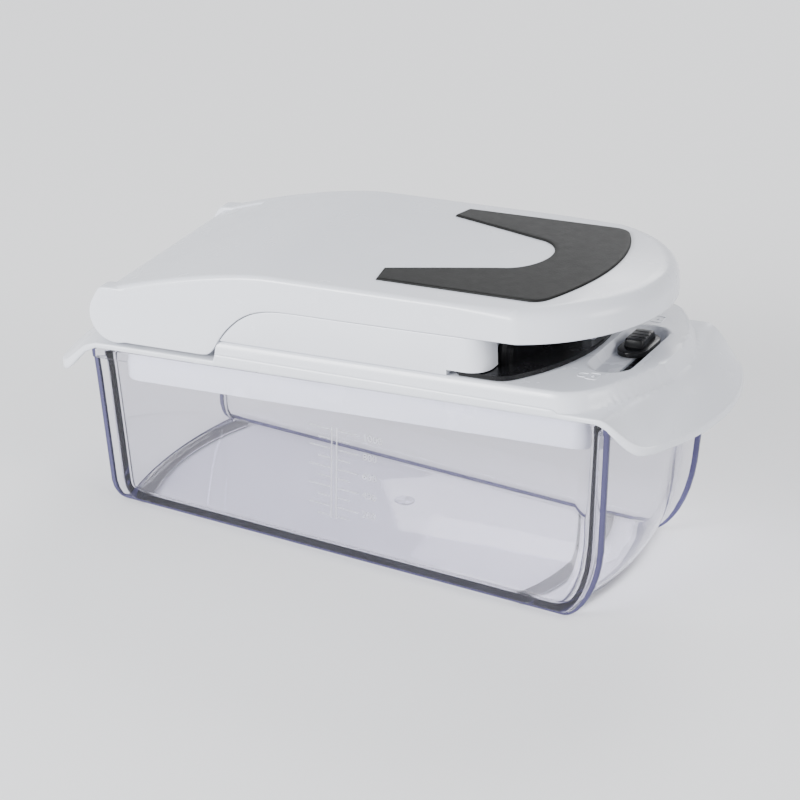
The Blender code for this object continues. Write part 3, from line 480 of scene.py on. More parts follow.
def paintedShadeBand(fin, wall):
    # depth of the painted shade band along the edge of a fin: a darker violet tint where the clear plastic is
    # seen edge on
    return min(tub["paintedShadeBand"], (fin - wall) * 0.4)


def tubLevels(height, belowRim):
    def level(x):
        return height if belowRim is None else rimHeight(x) - belowRim
    return level, {1: level(tub["front"]), -1: level(tub["rear"])}


def tubLoop(height, belowRim=None, grow=0.0):
    level, ends = tubLevels(height, belowRim)
    points = []
    for side in (1, -1):
        fin, wall, bow = tubEnd(ends[side], side)
        half = tubHalf(ends[side], side) + grow
        inner = tubHalf(ends[side], side) - tub["wall"] - max(grow, 0.0)
        fin, wall = fin + min(grow, 0.0), wall + grow
        fin = max(fin, wall + 0.3)
        edge = min(tub["edgeRound"], (half - inner) * 0.45, (fin - wall) * 0.4)
        cove = min(tub["coveRound"], (fin - wall) * 0.5)
        # a row of points where the painted edge shade begins
        band = paintedShadeBand(fin, wall)
        arc = [(wall + bow * (1 - (y / inner) ** 2), y) for y in spread(-inner, inner, 19)]
        row = [(fin - band, -half)] + roundCorner((0, -half), (fin, -half), (fin, -inner), edge, 4)
        row += roundCorner((fin, -half), (fin, -inner), (wall, -inner), edge, 4) + [(fin - band, -inner)]
        row += roundCorner((fin, -inner), (wall, -inner), arc[1], cove, 4)
        row += arc[1:-1] + [(x, -y) for x, y in reversed(row)]
        points += [(side * x, side * y, level(side * x)) for x, y in row]
    return points


def cavityLoop(height, belowRim=None, inset=0.0):
    level, ends = tubLevels(height, belowRim)
    points = []
    for side in (1, -1):
        wall, bow = tubEnd(ends[side], side)[1:]
        half = tubHalf(ends[side], side) - tub["wall"] - inset
        wall = wall - tub["wall"] - inset
        arc = [(wall + bow * (1 - (y / half) ** 2), y) for y in spread(-half, half, 19)]
        row = roundCorner((0, -half), (wall, -half), arc[1], tub["corner"], 16)
        row += arc[1:-1] + [(x, -y) for x, y in reversed(row)]
        points += [(side * x, side * y, level(side * x)) for x, y in row]
    return points


strips = {"half": 43.0, "bow": 7.0, "width": 6.5, "thick": 1.6, "fit": 0.1,
          "apexes": {"grip_strip_rear": (112.5, -1), "grip_strip_front": (74.0, 1)},
          "section": ((-0.5, 0.0), (-0.15, 0.12), (0.0, 0.45), (0.0, 1.3), (-0.2, 1.52), (-0.5, 1.6))}


def stripOutline(apex, side, grow=0.0):
    radius = (strips["half"] ** 2 + strips["bow"] ** 2) / (2 * strips["bow"])
    span = atan2(strips["half"], radius - strips["bow"])
    half = strips["width"] / 2 + grow
    cx = apex - radius
    outer = [(cx + (radius + half) * cos(a), (radius + half) * sin(a)) for a in spread(-span, span, 33)]
    inner = [(cx + (radius - half) * cos(a), (radius - half) * sin(a)) for a in spread(span, -span, 33)]

    def cap(sign):
        ex, ey = cx + radius * cos(span), sign * radius * sin(span)
        return [(ex + half * cos(sign * (span + pi * k / 12)), ey + half * sin(sign * (span + pi * k / 12)))
                for k in range(1, 12)]
    row = outer + cap(1) + inner + list(reversed(cap(-1)))
    return [(side * x, side * y) for x, y in row]


def makeTub():
    base, rounding = tub["base"], tub["baseRound"]
    loops = []
    for k in range(6):
        a = pi / 2 * k / 5
        loops.append(tubLoop(base + rounding * (1 - cos(a)), grow=-rounding * (1 - sin(a))))
    loops += [tubLoop(z) for z in (3.2, 5, 8, 12, 17, 22, 28, 34, 44, 56)]
    lip = tub["rimDepth"]
    for below, grow in ((lip + 0.9, 0.0), (lip + 0.3, 0.3), (lip - 0.1, 0.85), (lip - 0.5, 1.0), (0.7, 1.0),
                        (0.2, 0.8), (0.0, 0.35)):
        loops.append(tubLoop(0, below, grow * tub["rimLip"]))
    loops += [cavityLoop(0, 0.0, -0.5), cavityLoop(0, 0.25, -0.1), cavityLoop(0, 0.8)]
    loops += [cavityLoop(0, 12)] + [cavityLoop(z) for z in (50, 34, 22, 14, 10)]
    for k in range(6):
        a = pi / 2 * k / 5
        loops.append(cavityLoop(tub["floor"] + tub["floorRound"] * (1 - sin(a)),
                                inset=tub["floorRound"] * (1 - cos(a))))
    mesh = rawMesh("catch_tub", loft(loops), tableSpace)
    for apex, side in strips["apexes"].values():
        outline = stripOutline(apex, side, strips["fit"])
        groove = loft(flatLoops([(outline, -2.0), (outline, strips["thick"] + strips["fit"])]))
        mesh = cutOrJoin(mesh, groove, tableSpace)
    piece("catch_tub", mesh, clear, "container", ("container",))
    # painted shade: the fin tips and the rounded lower edge get a darker violet copy of the clear plastic,
    # standing in for the darker look of clear plastic seen edge on
    mesh.materials.append(paintedEdgeShade)
    for face in mesh.polygons:
        x, z = face.center.x * 1000 - rimOrigin.x, face.center.z * 1000
        side = 1 if x > 0 else -1
        onFin = abs(face.center.y * 1000) > tubHalf(z, side) - tub["wall"] - 0.2
        fin, wall = tubEnd(z, side)[:2]
        shadedTip = onFin and abs(x) > fin - paintedShadeBand(fin, wall) - 0.1
        if shadedTip or z < base + rounding - 0.2 and 0.1 < -face.normal.z < 0.98:
            face.material_index = 1
    for name, (apex, side) in strips["apexes"].items():
        loops = [(stripOutline(apex, side, grow), z) for grow, z in strips["section"]]
        mesh = rawMesh(name, loft(flatLoops(loops)), tableSpace)
        piece(name + "_pad", mesh, gripGrey, "container", (name,))


makeTub()
print("tub made")


scale = {"spine": -16.0, "low": 18.0, "high": 60.0, "ticks": 10, "longTick": 9.0, "shortTick": 5.0,
         "line": 0.55, "stand": 0.12, "textSize": 4.4, "textPlace": 12.5,
         "numbers": ("200", "400", "600", "800", "1000")}


def nearWall(x, z):
    # outer face of the near wall
    share = (tub["front"] - x) / (tub["front"] - tub["rear"])
    return -(tubHalf(z, 1) * (1 - share) + tubHalf(z, -1) * share)


def wallStroke(x0, z0, x1, z1, width):
    # thin raised bar on the near wall
    along = Vector((x1 - x0, z1 - z0)).normalized() * width / 2
    side = Vector((-along.y, along.x))
    ends = [(x0 + side.x, z0 + side.y), (x1 + side.x, z1 + side.y),
            (x1 - side.x, z1 - side.y), (x0 - side.x, z0 - side.y)]
    return loft([[(x, nearWall(x, z) - out, z) for x, z in ends] for out in (0.02, scale["stand"])])


def makeScale():
    strokes = []
    for x in (scale["spine"] - 1.1, scale["spine"] + 1.1):
        strokes.append(wallStroke(x, scale["low"], x, scale["high"], scale["line"]))
    heights = spread(scale["low"] + 1, scale["high"] - 1, scale["ticks"])
    for k, z in enumerate(heights):
        reach = scale["longTick"] if k % 2 else scale["shortTick"]
        strokes.append(wallStroke(scale["spine"] - 2 - reach, z, scale["spine"] - 2, z, scale["line"]))
        strokes.append(wallStroke(scale["spine"] + 2, z, scale["spine"] + 2 + reach, z, scale["line"]))
    mesh = rawMesh("volume_scale", joined(strokes), tableSpace)
    piece("volume_scale", mesh, mark, "container")
    for text, z in zip(scale["numbers"], heights[1::2]):
        curve = bpy.data.curves.new("number", "FONT")
        curve.body, curve.size, curve.extrude = text, scale["textSize"], 0.04
        holder = linked("number", curve)
        letters = finished(holder)
        bpy.data.objects.remove(holder)
        for v in letters.vertices:
            x, up = scale["spine"] + scale["textPlace"] + v.co.x, z - 1.5 + v.co.y
            v.co = tableSpace((x, nearWall(x, up) - 0.06 - v.co.z, up)) * 0.001
        piece("scale_number_" + text, letters, mark, "container")


makeScale()

# moulding gate mark on the tub's floor, its rings as (share of the radius, share of the rise)
gate = {"x": -11.0, "y": 10.0, "radius": 4.4, "rise": 0.5,
        "rings": ((1.0, -0.1), (0.97, 0.25), (0.86, 0.5), (0.62, 0.42), (0.4, 0.2), (0.15, 0.12))}


def makeGateMark():
    loops = []
    for share, rise in gate["rings"]:
        ring = circle(gate["x"], gate["y"], gate["radius"] * share, 40)
        loops.append((ring, tub["floor"] + gate["rise"] * rise))
    piece("gate_mark", rawMesh("gate_mark", loft(flatLoops(loops)), tableSpace), clear, "container")


makeGateMark()
print("tub details made")


# top frame: one moulded sheet with a raised deck, a latch recess and two drooping handle lips

deck = {"half": 58.0, "flange": 2.6, "top": 10.5, "bowFront": 109.0, "bow": 22.0, "sideHalf": 57.4,
        "shoulder": 3.0, "frontShoulder": 3.1, "rear": -70.4, "thick": 2.4,
        "lipRise": 2.9, "lipDrop": 12.4, "lipDropStart": 97.5, "lipDropRun": 18.0, "lipRun": 40.0,
        "rearDrop": 11.0, "rearDropStart": 125.5, "rearDropRun": 17.0, "rearRun": 26.0}
frontLip = {"apex": 128.4, "bow": 18.0, "half": deck["half"], "corner": 24.0}
rearLip = {"apex": 149.6, "bow": 7.0, "half": deck["half"] - 0.4, "corner": 11.0}
recess = {"x": 87.2, "y": -1.0, "halfX": 9.8, "halfY": 27.6, "depth": 4.2, "slope": 3.2}


def insideRounded(s, y, apex, bow, half, corner):
    # distance inward from a bowed, round-cornered end
    radius = (half * half + bow * bow) / (2 * bow)
    centre = apex - radius
    innerR, innerHalf, y = radius - corner, half - corner, abs(y)
    far = hypot(s - centre, y)
    if far <= innerR and y <= innerHalf:
        return corner + min(innerR - far, innerHalf - y)
    onArc = innerR * y / max(far, 1e-9)
    if far > innerR and onArc <= innerHalf:
        return corner - (far - innerR)
    cornerX = centre + sqrt(innerR ** 2 - innerHalf ** 2)
    if s <= cornerX:
        return corner - (y - innerHalf)
    return corner - hypot(s - cornerX, y - innerHalf)


def recessInside(s, y):
    halfX, straight = recess["halfX"], recess["halfY"] - recess["halfX"]
    return halfX - hypot(s - recess["x"], max(abs(y - recess["y"]) - straight, 0.0))


def frameTop(s, y):
    low = deck["flange"]
    if s > 0:
        rise = deck["lipRise"] * (1 - clamp(abs(y) / deck["half"]) ** 2) * ease(s / 60)
        drop = deck["lipDrop"] * ease((s - deck["lipDropStart"]) / deck["lipDropRun"])
        reach = clamp(1 - insideRounded(s, y, **frontLip) / deck["lipRun"]) ** 2.6
        low = low + rise * (1 - reach) - drop * reach
    elif s < -100:
        drop = deck["rearDrop"] * ease((-s - deck["rearDropStart"]) / deck["rearDropRun"])
        low = low - drop * clamp(1 - insideRounded(-s, y, **rearLip) / deck["rearRun"]) ** 1.5
    if s < deck["rear"]:
        return low
    radius = (deck["sideHalf"] ** 2 + deck["bow"] ** 2) / (2 * deck["bow"])
    side = deck["sideHalf"] - abs(y)
    front = radius - hypot(max(s - (deck["bowFront"] - radius), 0.0), y)
    inside = softMin(side, front, 7.0)
    sideShape = 1 - (1 - clamp(inside / deck["shoulder"])) ** 3
    frontShape = ease(inside / deck["frontShoulder"]) ** 0.6
    blend = ease((side - front + 5) / 10)
    shape = sideShape * (1 - blend) + frontShape * blend
    shape *= ease((s - deck["rear"]) / 1.0)
    top = low + (deck["top"] - low) * shape
    if s > 70:
        top -= recess["depth"] * ease(recessInside(s, y) / recess["slope"])
    return top


def frameUnder(s, y):
    # the underside follows the top from a little further out
    outward = 1 + 2.0 / deck["half"]
    thick = deck["thick"] + 0.9 * ease((s - 98) / 15) + 1.8 * ease((-s - 124) / 12)
    return frameTop(s + 1.6 * ease((s - 84) / 12), y * outward) - thick


def frameRows():
    # near-side outline points with outward normals, from the rear tip to the front tip
    rear = bowedEnd(**rearLip, arcSteps=44, cornerSteps=12)
    rear = [(-x, y) for x, y in rear if y <= 1e-6][::-1]
    front = bowedEnd(**frontLip, arcSteps=60, cornerSteps=16)
    front = [(x, y) for x, y in front if y <= 1e-6]
    # closer together where the deck rises
    sides = spread(rear[-1][0] + 4, -74, 12)
    sides += [-72, -71, -70.6, -70.3, -70.0, -69.7, -69.4, -69.1, -68.5, -67]
    sides += spread(-62, 52, 20) + spread(54, front[0][0] - 1, 52)
    middle = []
    for x in sides:
        share = (x - rear[-1][0]) / (front[0][0] - rear[-1][0])
        middle.append((x, -(frontLip["half"] * share + rearLip["half"] * (1 - share))))
    points = rear + middle + front
    rows = []
    for k, (x, y) in enumerate(points):
        ax, ay = points[max(k - 1, 0)]
        bx, by = points[min(k + 1, len(points) - 1)]
        if k == 0:
            nx, ny = -1.0, 0.0
        elif k == len(points) - 1:
            nx, ny = 1.0, 0.0
        else:
            length = hypot(bx - ax, by - ay)
            nx, ny = (by - ay) / length, -(bx - ax) / length
        rows.append(((x, y), (nx, ny)))
    return rows


# rounded edge of the sheet, as distance inward and height below the edge's top
frameEdge = [(0.75, 0.0), (0.45, -0.06), (0.2, -0.24), (0.04, -0.55), (0.0, -0.95), (0.0, -1.55),
             (0.1, -1.95), (0.35, -2.25), (0.8, -2.4)]
# shares of the half width at which the sheet's upper skin has points
deckColumns = [1.0, 0.9975, 0.995, 0.992, 0.989, 0.985, 0.98, 0.974, 0.966, 0.955, 0.94]
deckColumns += spread(0.925, 0.0, 62)


def frameLoop(point, normal):
    (px, py), (nx, ny) = point, normal
    edgeX, edgeY = px - nx * frameEdge[0][0], py - ny * frameEdge[0][0]
    edgeTop = frameTop(edgeX, edgeY)
    droop = 1 + (edgeTop - frameUnder(edgeX, edgeY) - deck["thick"]) / deck["thick"]
    nearEdge = [(px - nx * inset, py - ny * inset, edgeTop + z * droop) for inset, z in frameEdge]
    x, half = nearEdge[0][0], -nearEdge[0][1]
    top = [(x, half * c, frameTop(x, half * c)) for c in mirrored(deckColumns, -1)]
    top[0] = nearEdge[0]
    top[-1] = (x, half, edgeTop)
    lowX, lowHalf = nearEdge[-1][0], -nearEdge[-1][1]
    columns = mirrored([0.985, 0.965, 0.95, 0.93, 0.9, 0.84] + spread(0.75, 0.0, 8))
    under = [(lowX, lowHalf * c, frameUnder(lowX, lowHalf * c)) for c in columns]
    farEdge = [(a, -b, z) for a, b, z in nearEdge]
    return top + farEdge[1:] + under + nearEdge[:0:-1]


openingsInDeck = {"tray": (-61.3, 49.3, -37.8, 37.8), "hook": (66.3, 73.0, -2.7, 8.7),
                  "slot": (89.1, 92.9, -16.0, 16.5)}


def makeFrameSheet():
    mesh = rawMesh("top_frame_sheet", loft([frameLoop(*row) for row in frameRows()], False, False), rimSpace)
    for sides in openingsInDeck.values():
        outline = roundedBox(*sides, 1.0)
        mesh = cutOrJoin(mesh, loft(flatLoops([(outline, -6.0), (outline, 16.0)])))
    piece("top_frame_sheet", mesh, white, "frame", ("top_frame",), crease=40)


skirt = {"half": 52.1, "front": 96.8, "rear": -119.2, "frontBow": 6.0, "rearBow": 4.5, "corner": 9.0,
         "wall": 1.8, "depth": 13.5}


def makeSkirt():
    def outline(grow):
        return bowedOutline(skirt["rear"] - grow, skirt["rearBow"], skirt["front"] + grow, skirt["frontBow"],
                            skirt["half"] + grow, skirt["corner"] + grow)
    low, wall = -skirt["depth"], -skirt["wall"]
    loops = [(outline(0), 0.35), (outline(0), low + 0.6), (outline(-0.2), low + 0.15), (outline(-0.6), low),
             (outline(wall + 0.6), low), (outline(wall + 0.15), low + 0.2), (outline(wall), low + 0.6),
             (outline(wall), 1.9), (outline(wall + 0.3), 2.2), (outline(3.0), 2.2), (outline(3.0), 0.35)]
    mesh = rawMesh("inner_skirt", loft(flatLoops(loops), ring=True), rimSpace)
    piece("inner_skirt", mesh, white, "frame")


post = {"inner": 41.9, "outer": 48.4, "radius": 4.8, "bore": 2.6, "foot": 2.4, "footSpread": 1.5}


def makePosts():
    # two posts that carry the hinge pins
    y0, y1, foot = post["inner"], post["outer"], post["foot"]

    def arch(grow):
        r = post["radius"] + grow
        top = [(hingeX + r * cos(a), hingeZ + r * sin(a)) for a in spread(0, pi, 25)]
        return top + [(hingeX - r - 0.1, foot), (hingeX + r + post["footSpread"], foot)]
    for sign, name in ((-1, "hinge_post_near"), (1, "hinge_post_far")):
        loops = []
        for grow, y in ((-0.6, y0), (-0.15, y0 + 0.15), (0, y0 + 0.6), (0, y1 - 0.6), (-0.15, y1 - 0.15),
                        (-0.6, y1)):
            loops.append([(x, sign * y, z) for x, z in arch(grow)])
        mesh = rawMesh(name, loft(loops), rimSpace)
        hole = circle(hingeX, hingeZ, post["bore"], 32)
        pinHole = loft([[(x, sign * y, z) for x, z in hole] for y in (y0 - 2, y1 + 2)])
        piece(name, cutOrJoin(mesh, pinHole), white, "frame")


def band(points, width, height, closed):
    # flat raised line on the deck through plan points
    count = len(points)
    left, right = [], []
    for k, (x, y) in enumerate(points):
        a = points[(k - 1) % count] if closed or k else points[0]
        b = points[(k + 1) % count] if closed or k < count - 1 else points[-1]
        length = hypot(b[0] - a[0], b[1] - a[1])
        nx, ny = -(b[1] - a[1]) / length * width / 2, (b[0] - a[0]) / length * width / 2
        left.append((x + nx, y + ny))
        right.append((x - nx, y - ny))

    def lifted(point, up):
        return (*point, frameTop(*point) + up)
    loops = []
    for a, b in zip(left, right):
        inA = (a[0] * 0.75 + b[0] * 0.25, a[1] * 0.75 + b[1] * 0.25)
        inB = (a[0] * 0.25 + b[0] * 0.75, a[1] * 0.25 + b[1] * 0.75)
        loops.append([lifted(a, -0.1), lifted(inA, height), lifted(inB, height), lifted(b, -0.1)])
    return loft(loops, ring=closed)


padlock = {"x": 84.0, "places": (("padlock_shut", -34.5, False), ("padlock_open", 33.5, True)),
           "bodyHalf": 3.2, "bodyLength": 4.2, "bowHalf": 2.0, "bowHeight": 1.9, "openShift": 2.6,
           "keyRadius": 0.55, "line": 0.75, "keyLine": 0.5, "height": 0.22}


def makePadlocks():
    # raised outlines of a shut and an open padlock beside the latch
    cx, bowHalf, line, height = padlock["x"], padlock["bowHalf"], padlock["line"], padlock["height"]
    half = padlock["bodyHalf"]
    for name, cy, isOpen in padlock["places"]:
        body = roundedBox(cx - 0.4, cx + padlock["bodyLength"], cy - half, cy + half, 0.8, 3)
        shift = padlock["openShift"] if isOpen else 0.0
        bow = [(cx - 0.6, cy + shift + bowHalf)]
        bow += [(cx - 2.6 - padlock["bowHeight"] * sin(a), cy + shift + bowHalf * cos(a))
                for a in spread(0, pi, 13)]
        if not isOpen:
            bow.append((cx - 0.6, cy - bowHalf))
        key = circle(cx + 1.9, cy, padlock["keyRadius"], 12)
        bodies = [band(body, line, height, True), band(bow, line, height, False),
                  band(key, padlock["keyLine"], height, True)]
        piece(name, rawMesh(name, joined(bodies), rimSpace), white, "frame")


makeFrameSheet()
makeSkirt()
makePosts()
makePadlocks()
print("frame made")


# lid

lid = {"half": 57.0, "rear": -121.0, "noseCentre": 44.0, "noseRadius": 60.0, "top": 41.3, "rearDrop": 15.3,
       "fallStart": -45.0, "crown": 2.5, "noseFall": 1.4, "edge": 2.4, "noseEdge": 7.6, "wall": 2.4,
       "stripHalf": 49.4, "stripFront": -100.2, "stripDepth": 0.8, "rearEdge": 1.4, "rearLow": 4.2,
       "inset": 1.2}
lidLowKnots = [(-118.0, 4.2), (-80.0, 4.1), (-75.0, 4.2), (-72.6, 4.9), (-70.9, 6.5), (-69.4, 8.7),
               (-67.9, 11.4), (-65.6, 14.6), (-63.1, 17.4), (-60.0, 20.4), (-57.0, 22.6), (-53.0, 24.7),
               (-48.1, 26.2), (-43.0, 27.0), (-36.0, 27.3), (-10.0, 27.4), (40.0, 27.9), (62.0, 28.1),
               (85.0, 28.6), (104.0, 29.4)]


def lidTop(s, y):
    fall = max(0.0, (lid["fallStart"] - s) / (lid["fallStart"] - lid["rear"]))
    crown = lid["crown"] * ease((s - lid["rear"]) / 70) * (1 - (y / lid["half"]) ** 2)
    top = lid["top"] - lid["rearDrop"] * fall ** 1.55 + crown
    top -= lid["noseFall"] * ease((s - 78) / 26)
    top -= (lid["stripDepth"] * ease((lid["stripFront"] - s) / 0.9)
            * ease((lid["stripHalf"] + 0.4 - abs(y)) / 0.8))
    edge = lid["rearEdge"]
    if s < lid["rear"] + edge:
        gap = edge - (s - lid["rear"])
        top -= edge - sqrt(max(edge ** 2 - gap ** 2, 0.0))
    return top


def lidLow(s):
    if s < hingeX:
        return hingeZ - sqrt(max(0.0, (hingeZ - lid["rearLow"]) ** 2 - (s - hingeX) ** 2))
    return throughKnots(lidLowKnots, s)


def lidOutline():
    # closer together at the rear edge, at the hinge strip and where the lower edge steps up
    side = [-121.0, -120.85, -120.6, -120.2, -119.6, -117, -113, -109, -105, -102.2, -101.4, -101.0, -100.7,
            -100.4, -100.1, -99.6, -98, -94, -90, -86, -82, -79, -77, -75.5, -74.3, -73.3, -72.4, -71.6,
            -70.9, -70.2, -69.5, -68.8, -68.1, -67.3, -66.4, -65.4, -64.2, -62.8, -61.2, -59.4, -57.4,
            -55.2, -52.8, -50.2, -47.4, -44.2, -40.5]
    side += spread(-36, 60, 22)
    points = [((s, -lid["half"]), (0.0, -1.0)) for s in side]
    start = asin(lid["half"] / lid["noseRadius"])
    for a in spread(start, 0.0, 46):
        points.append(((lid["noseCentre"] + lid["noseRadius"] * cos(a), -lid["noseRadius"] * sin(a)),
                       (cos(a), -sin(a))))
    return points


lidColumns = [1.0, 0.985, 0.965, 0.945, 0.93, 0.92, 0.914, 0.909, 0.904, 0.899, 0.894, 0.885, 0.87, 0.84]
lidColumns += spread(0.79, 0.0, 14)


def lidLoop(point, normal):
    (px, py), (nx, ny) = point, normal
    radius = lid["edge"] + (lid["noseEdge"] - lid["edge"]) * ease((px - 30) / 62)
    wall = lid["wall"]

    def at(inset, z):
        return (px - nx * inset, py - ny * inset, z)
    capX, capY = px - nx * radius, py - ny * radius
    topEdge = lidTop(capX, capY)
    low, side = lidLow(px), topEdge - radius
    low = min(low, side - 1.2)
    near = [at(wall, low + 0.5), at(wall - 0.15, low + 0.12), at(wall - 0.5, low), at(0.75, low),
            at(0.3, low + 0.1), at(0.07, low + 0.34), at(0.0, low + 0.75)]
    near += [at(0.0, low + 0.75 + (side - low - 0.75) * f) for f in (0.33, 0.66)]
    near += [at(radius * (1 - cos(a)), side + radius * sin(a)) for a in spread(0, pi / 2, 11)[:-1]]
    top = [(capX, -capY * c, lidTop(capX, -capY * c)) for c in mirrored(lidColumns, -1)]
    inX, inY = px - nx * (wall + lid["inset"]), py - ny * (wall + lid["inset"])
    columns = mirrored([0.97, 0.93, 0.88, 0.8] + spread(0.7, 0.0, 7))
    ceiling = [(inX, -inY * c, lidTop(capX if radius > wall else inX, -inY * c) - wall) for c in columns]
    rimIn = max(min(side, topEdge - wall - lid["inset"]), low + 0.6)
    far = [(x, -y, z) for x, y, z in reversed(near)]
    x, y, z = at(wall, rimIn)
    return near + top + far + [(x, -y, z)] + ceiling + [(x, y, z)]


ear = {"radius": 12.0, "bump": 1.15, "bumpAt": 122, "bumpSpan": 13,
       "section": ((0.9, 57.0), (0.55, 56.93), (0.22, 56.7), (0.05, 56.4), (0, 56.0), (0, 50.0),
                   (0.1, 49.5), (0.4, 49.15), (0.9, 49.0))}


def earLoops(sign):
    # knuckle at the rear corner: a disc about the hinge line with a small raised corner
    def outline(inset):
        points = []
        for a in spread(0, 2 * pi, 73)[:-1]:
            bump = ear["bump"] * exp(-((a - radians(ear["bumpAt"])) / radians(ear["bumpSpan"])) ** 2)
            r = ear["radius"] + bump - inset
            points.append((hingeX + r * cos(a), hingeZ + r * sin(a)))
        return points
    loops = []
    for inset, y in ear["section"]:
        loops.append([(x, sign * y, z) for x, z in outline(inset)])
    return loft(loops)


def makeLidShell():
    rows = [lidLoop(*row) for row in lidOutline()]
    verts, faces = loft(rows, False, False)
    faces.append(tuple(range(len(rows[0]))))   # closes the open end at the rear
    mesh = rawMesh("lid_shell_skin", (verts, faces), rimSpace)
    for sign in (-1, 1):
        mesh = cutOrJoin(mesh, earLoops(sign), operation="UNION")
    piece("lid_shell_skin", mesh, white, "lid", ("lid_shell",), crease=38)


grip = {"armRear": -4.0, "armInner": 34.0, "armOuter": 45.0, "notch": 53.0, "notchHalf": 19.0,
        "notchDepth": 15.8, "front": 81.0, "bow": 13.0, "half": 45.5, "corner": 8.5, "height": 0.85,
        "edge": 0.8, "sink": 0.25}


def resample(points, count):
    lengths = [0.0]
    for a, b in zip(points, points[1:]):
        lengths.append(lengths[-1] + hypot(b[0] - a[0], b[1] - a[1]))
    result = []
    for target in spread(0, lengths[-1], count):
        k = 1
        while k < len(points) - 1 and lengths[k] < target:
            k += 1
        t = (target - lengths[k - 1]) / max(lengths[k] - lengths[k - 1], 1e-9)
        a, b = points[k - 1], points[k]
        result.append((a[0] + (b[0] - a[0]) * t, a[1] + (b[1] - a[1]) * t))
    return result


def makeGripPad():
    inner = [(grip["armRear"], -grip["armInner"])]
    inner += [(grip["notch"] - grip["notchDepth"] * (1 - cos(a)), -grip["notchHalf"] * sin(a))
              for a in spread(radians(82), 0, 24)]
    outer = [(grip["armRear"] + 1.5, -grip["armOuter"])]
    front = bowedEnd(grip["front"], grip["bow"], grip["half"], grip["corner"], 40, 12)
    outer += [point for point in front if point[1] <= 1e-6]
    count = 70
    innerHalf, outerHalf = resample(inner, count), resample(outer, count)
    innerRun = innerHalf + [(x, -y) for x, y in reversed(innerHalf[:-1])]
    outerRun = outerHalf + [(x, -y) for x, y in reversed(outerHalf[:-1])]
    edges = [0.0, 0.08, 0.22, 0.45, grip["edge"]]

    def rise(gap):
        t = clamp(gap / grip["edge"])
        return grip["height"] * sqrt(max(0.0, 1 - (1 - t) ** 2))
    last = len(innerRun) - 1
    stations = [(0, e) for e in edges] + [(k, grip["edge"]) for k in range(1, last)]
    stations += [(last, e) for e in reversed(edges)]
    rows = []
    for k, end in stations:
        a, b = Vector(innerRun[k]), Vector(outerRun[k])
        if k in (0, last):
            nextK = 1 if k == 0 else last - 1
            for point, run in ((a, innerRun), (b, outerRun)):
                point += (Vector(run[nextK]) - point).normalized() * end
        across = b - a
        length = across.length
        unit = across / length
        gaps = edges + [length * f for f in spread(0.08, 0.92, 9)] + [length - e for e in reversed(edges)]
        row = []
        for gap in gaps:
            p = a + unit * gap
            z = lidTop(p.x, p.y) + 0.02 + rise(min(gap, length - gap, end))
            row.append((p.x, p.y, z))
        rows.append(row + [(x, y, lidTop(x, y) - grip["sink"]) for x, y, _ in reversed(row)])
    mesh = rawMesh("grip_pad_soft", loft(rows), rimSpace)
    piece("grip_pad_soft", mesh, pad, "lid", ("grip_pad",), crease=50)


housing = {"rear": -69.6, "front": 49.0, "half": 56.0, "low": 10.9, "top": 34.3, "corner": 8.5, "step": 2.2,
           "wall": 4.2, "rearCorner": 3.0, "window": (-43.0, 43.0, 2.0, 27.0), "reliefRear": 32.5,
           "reliefTop": 13.2}


def housingOutline(inset):
    h = housing
    corners = [(h["rear"] + inset, -h["half"] + inset), (h["front"] - inset, -h["half"] + inset),
               (h["front"] - inset, h["half"] - inset), (h["rear"] + inset, h["half"] - inset)]
    points = []
    frontCorner = h["corner"] - inset * 0.8
    radii = (h["rearCorner"], frontCorner, frontCorner, h["rearCorner"])
    for k, corner in enumerate(corners):
        arc = roundCorner(corners[k - 1], corner, corners[(k + 1) % 4], radii[k], 10)
        points += arc
        following = corners[(k + 1) % 4]
        if k in (0, 2):   # the long sides follow the arch of the lid, so they need many points
            start = arc[-1]
            stop = following[0] - radii[(k + 1) % 4] * (1 if following[0] > start[0] else -1)
            points += [(start[0] + (stop - start[0]) * t ** (1.8 if k == 0 else 1 / 1.8), start[1])
                       for t in spread(0, 1, 62)[1:-1]]
    return points


def makeHousing():
    def panelTop(s):
        return clamp(lidLow(s) - 0.45, housing["low"] + 0.6, 28.0)

    def level(inset, height):
        return [(x, y, height(x) if callable(height) else height) for x, y in housingOutline(inset)]
    low, top, step, front = housing["low"], housing["top"], housing["step"], housing["front"]
    loops = [level(0.5, low), level(0.12, low + 0.12), level(0.0, low + 0.45),
             level(0.0, lambda s: max(panelTop(s) - 0.4, low + 0.5)),
             level(0.15, lambda s: panelTop(s) - 0.08), level(0.5, panelTop), level(step, panelTop),
             level(step, top - 0.6), level(step + 0.2, top - 0.15), level(step + 0.7, top)]
    mesh = rawMesh("press_housing_box", loft(loops), rimSpace)
    inner = [(housingOutline(housing["wall"]), low - 2), (housingOutline(housing["wall"]), top - 2.0)]
    mesh = cutOrJoin(mesh, loft(flatLoops(inner)))
    window = roundedBox(*housing["window"], 3.0)
    cutter = loft([[(x, a, b) for a, b in window] for x in (front - 7, front + 3)])
    mesh = cutOrJoin(mesh, cutter)
    relief = block(housing["reliefRear"], front + 3, -60, 60, low - 2, housing["reliefTop"])
    mesh = cutOrJoin(mesh, relief)
    piece("press_housing_box", mesh, white, "lid", ("press_housing",), crease=38)


makeLidShell()
makeGripPad()
makeHousing()
finerCopy("pusher_grid", "pusher_grid_pegs", 0.3, white, "lid")
finerCopy("lid_hook", "lid_hook_arm", 0.35, white, "lid")
print("lid made")


# blade insert, latch and small metal parts

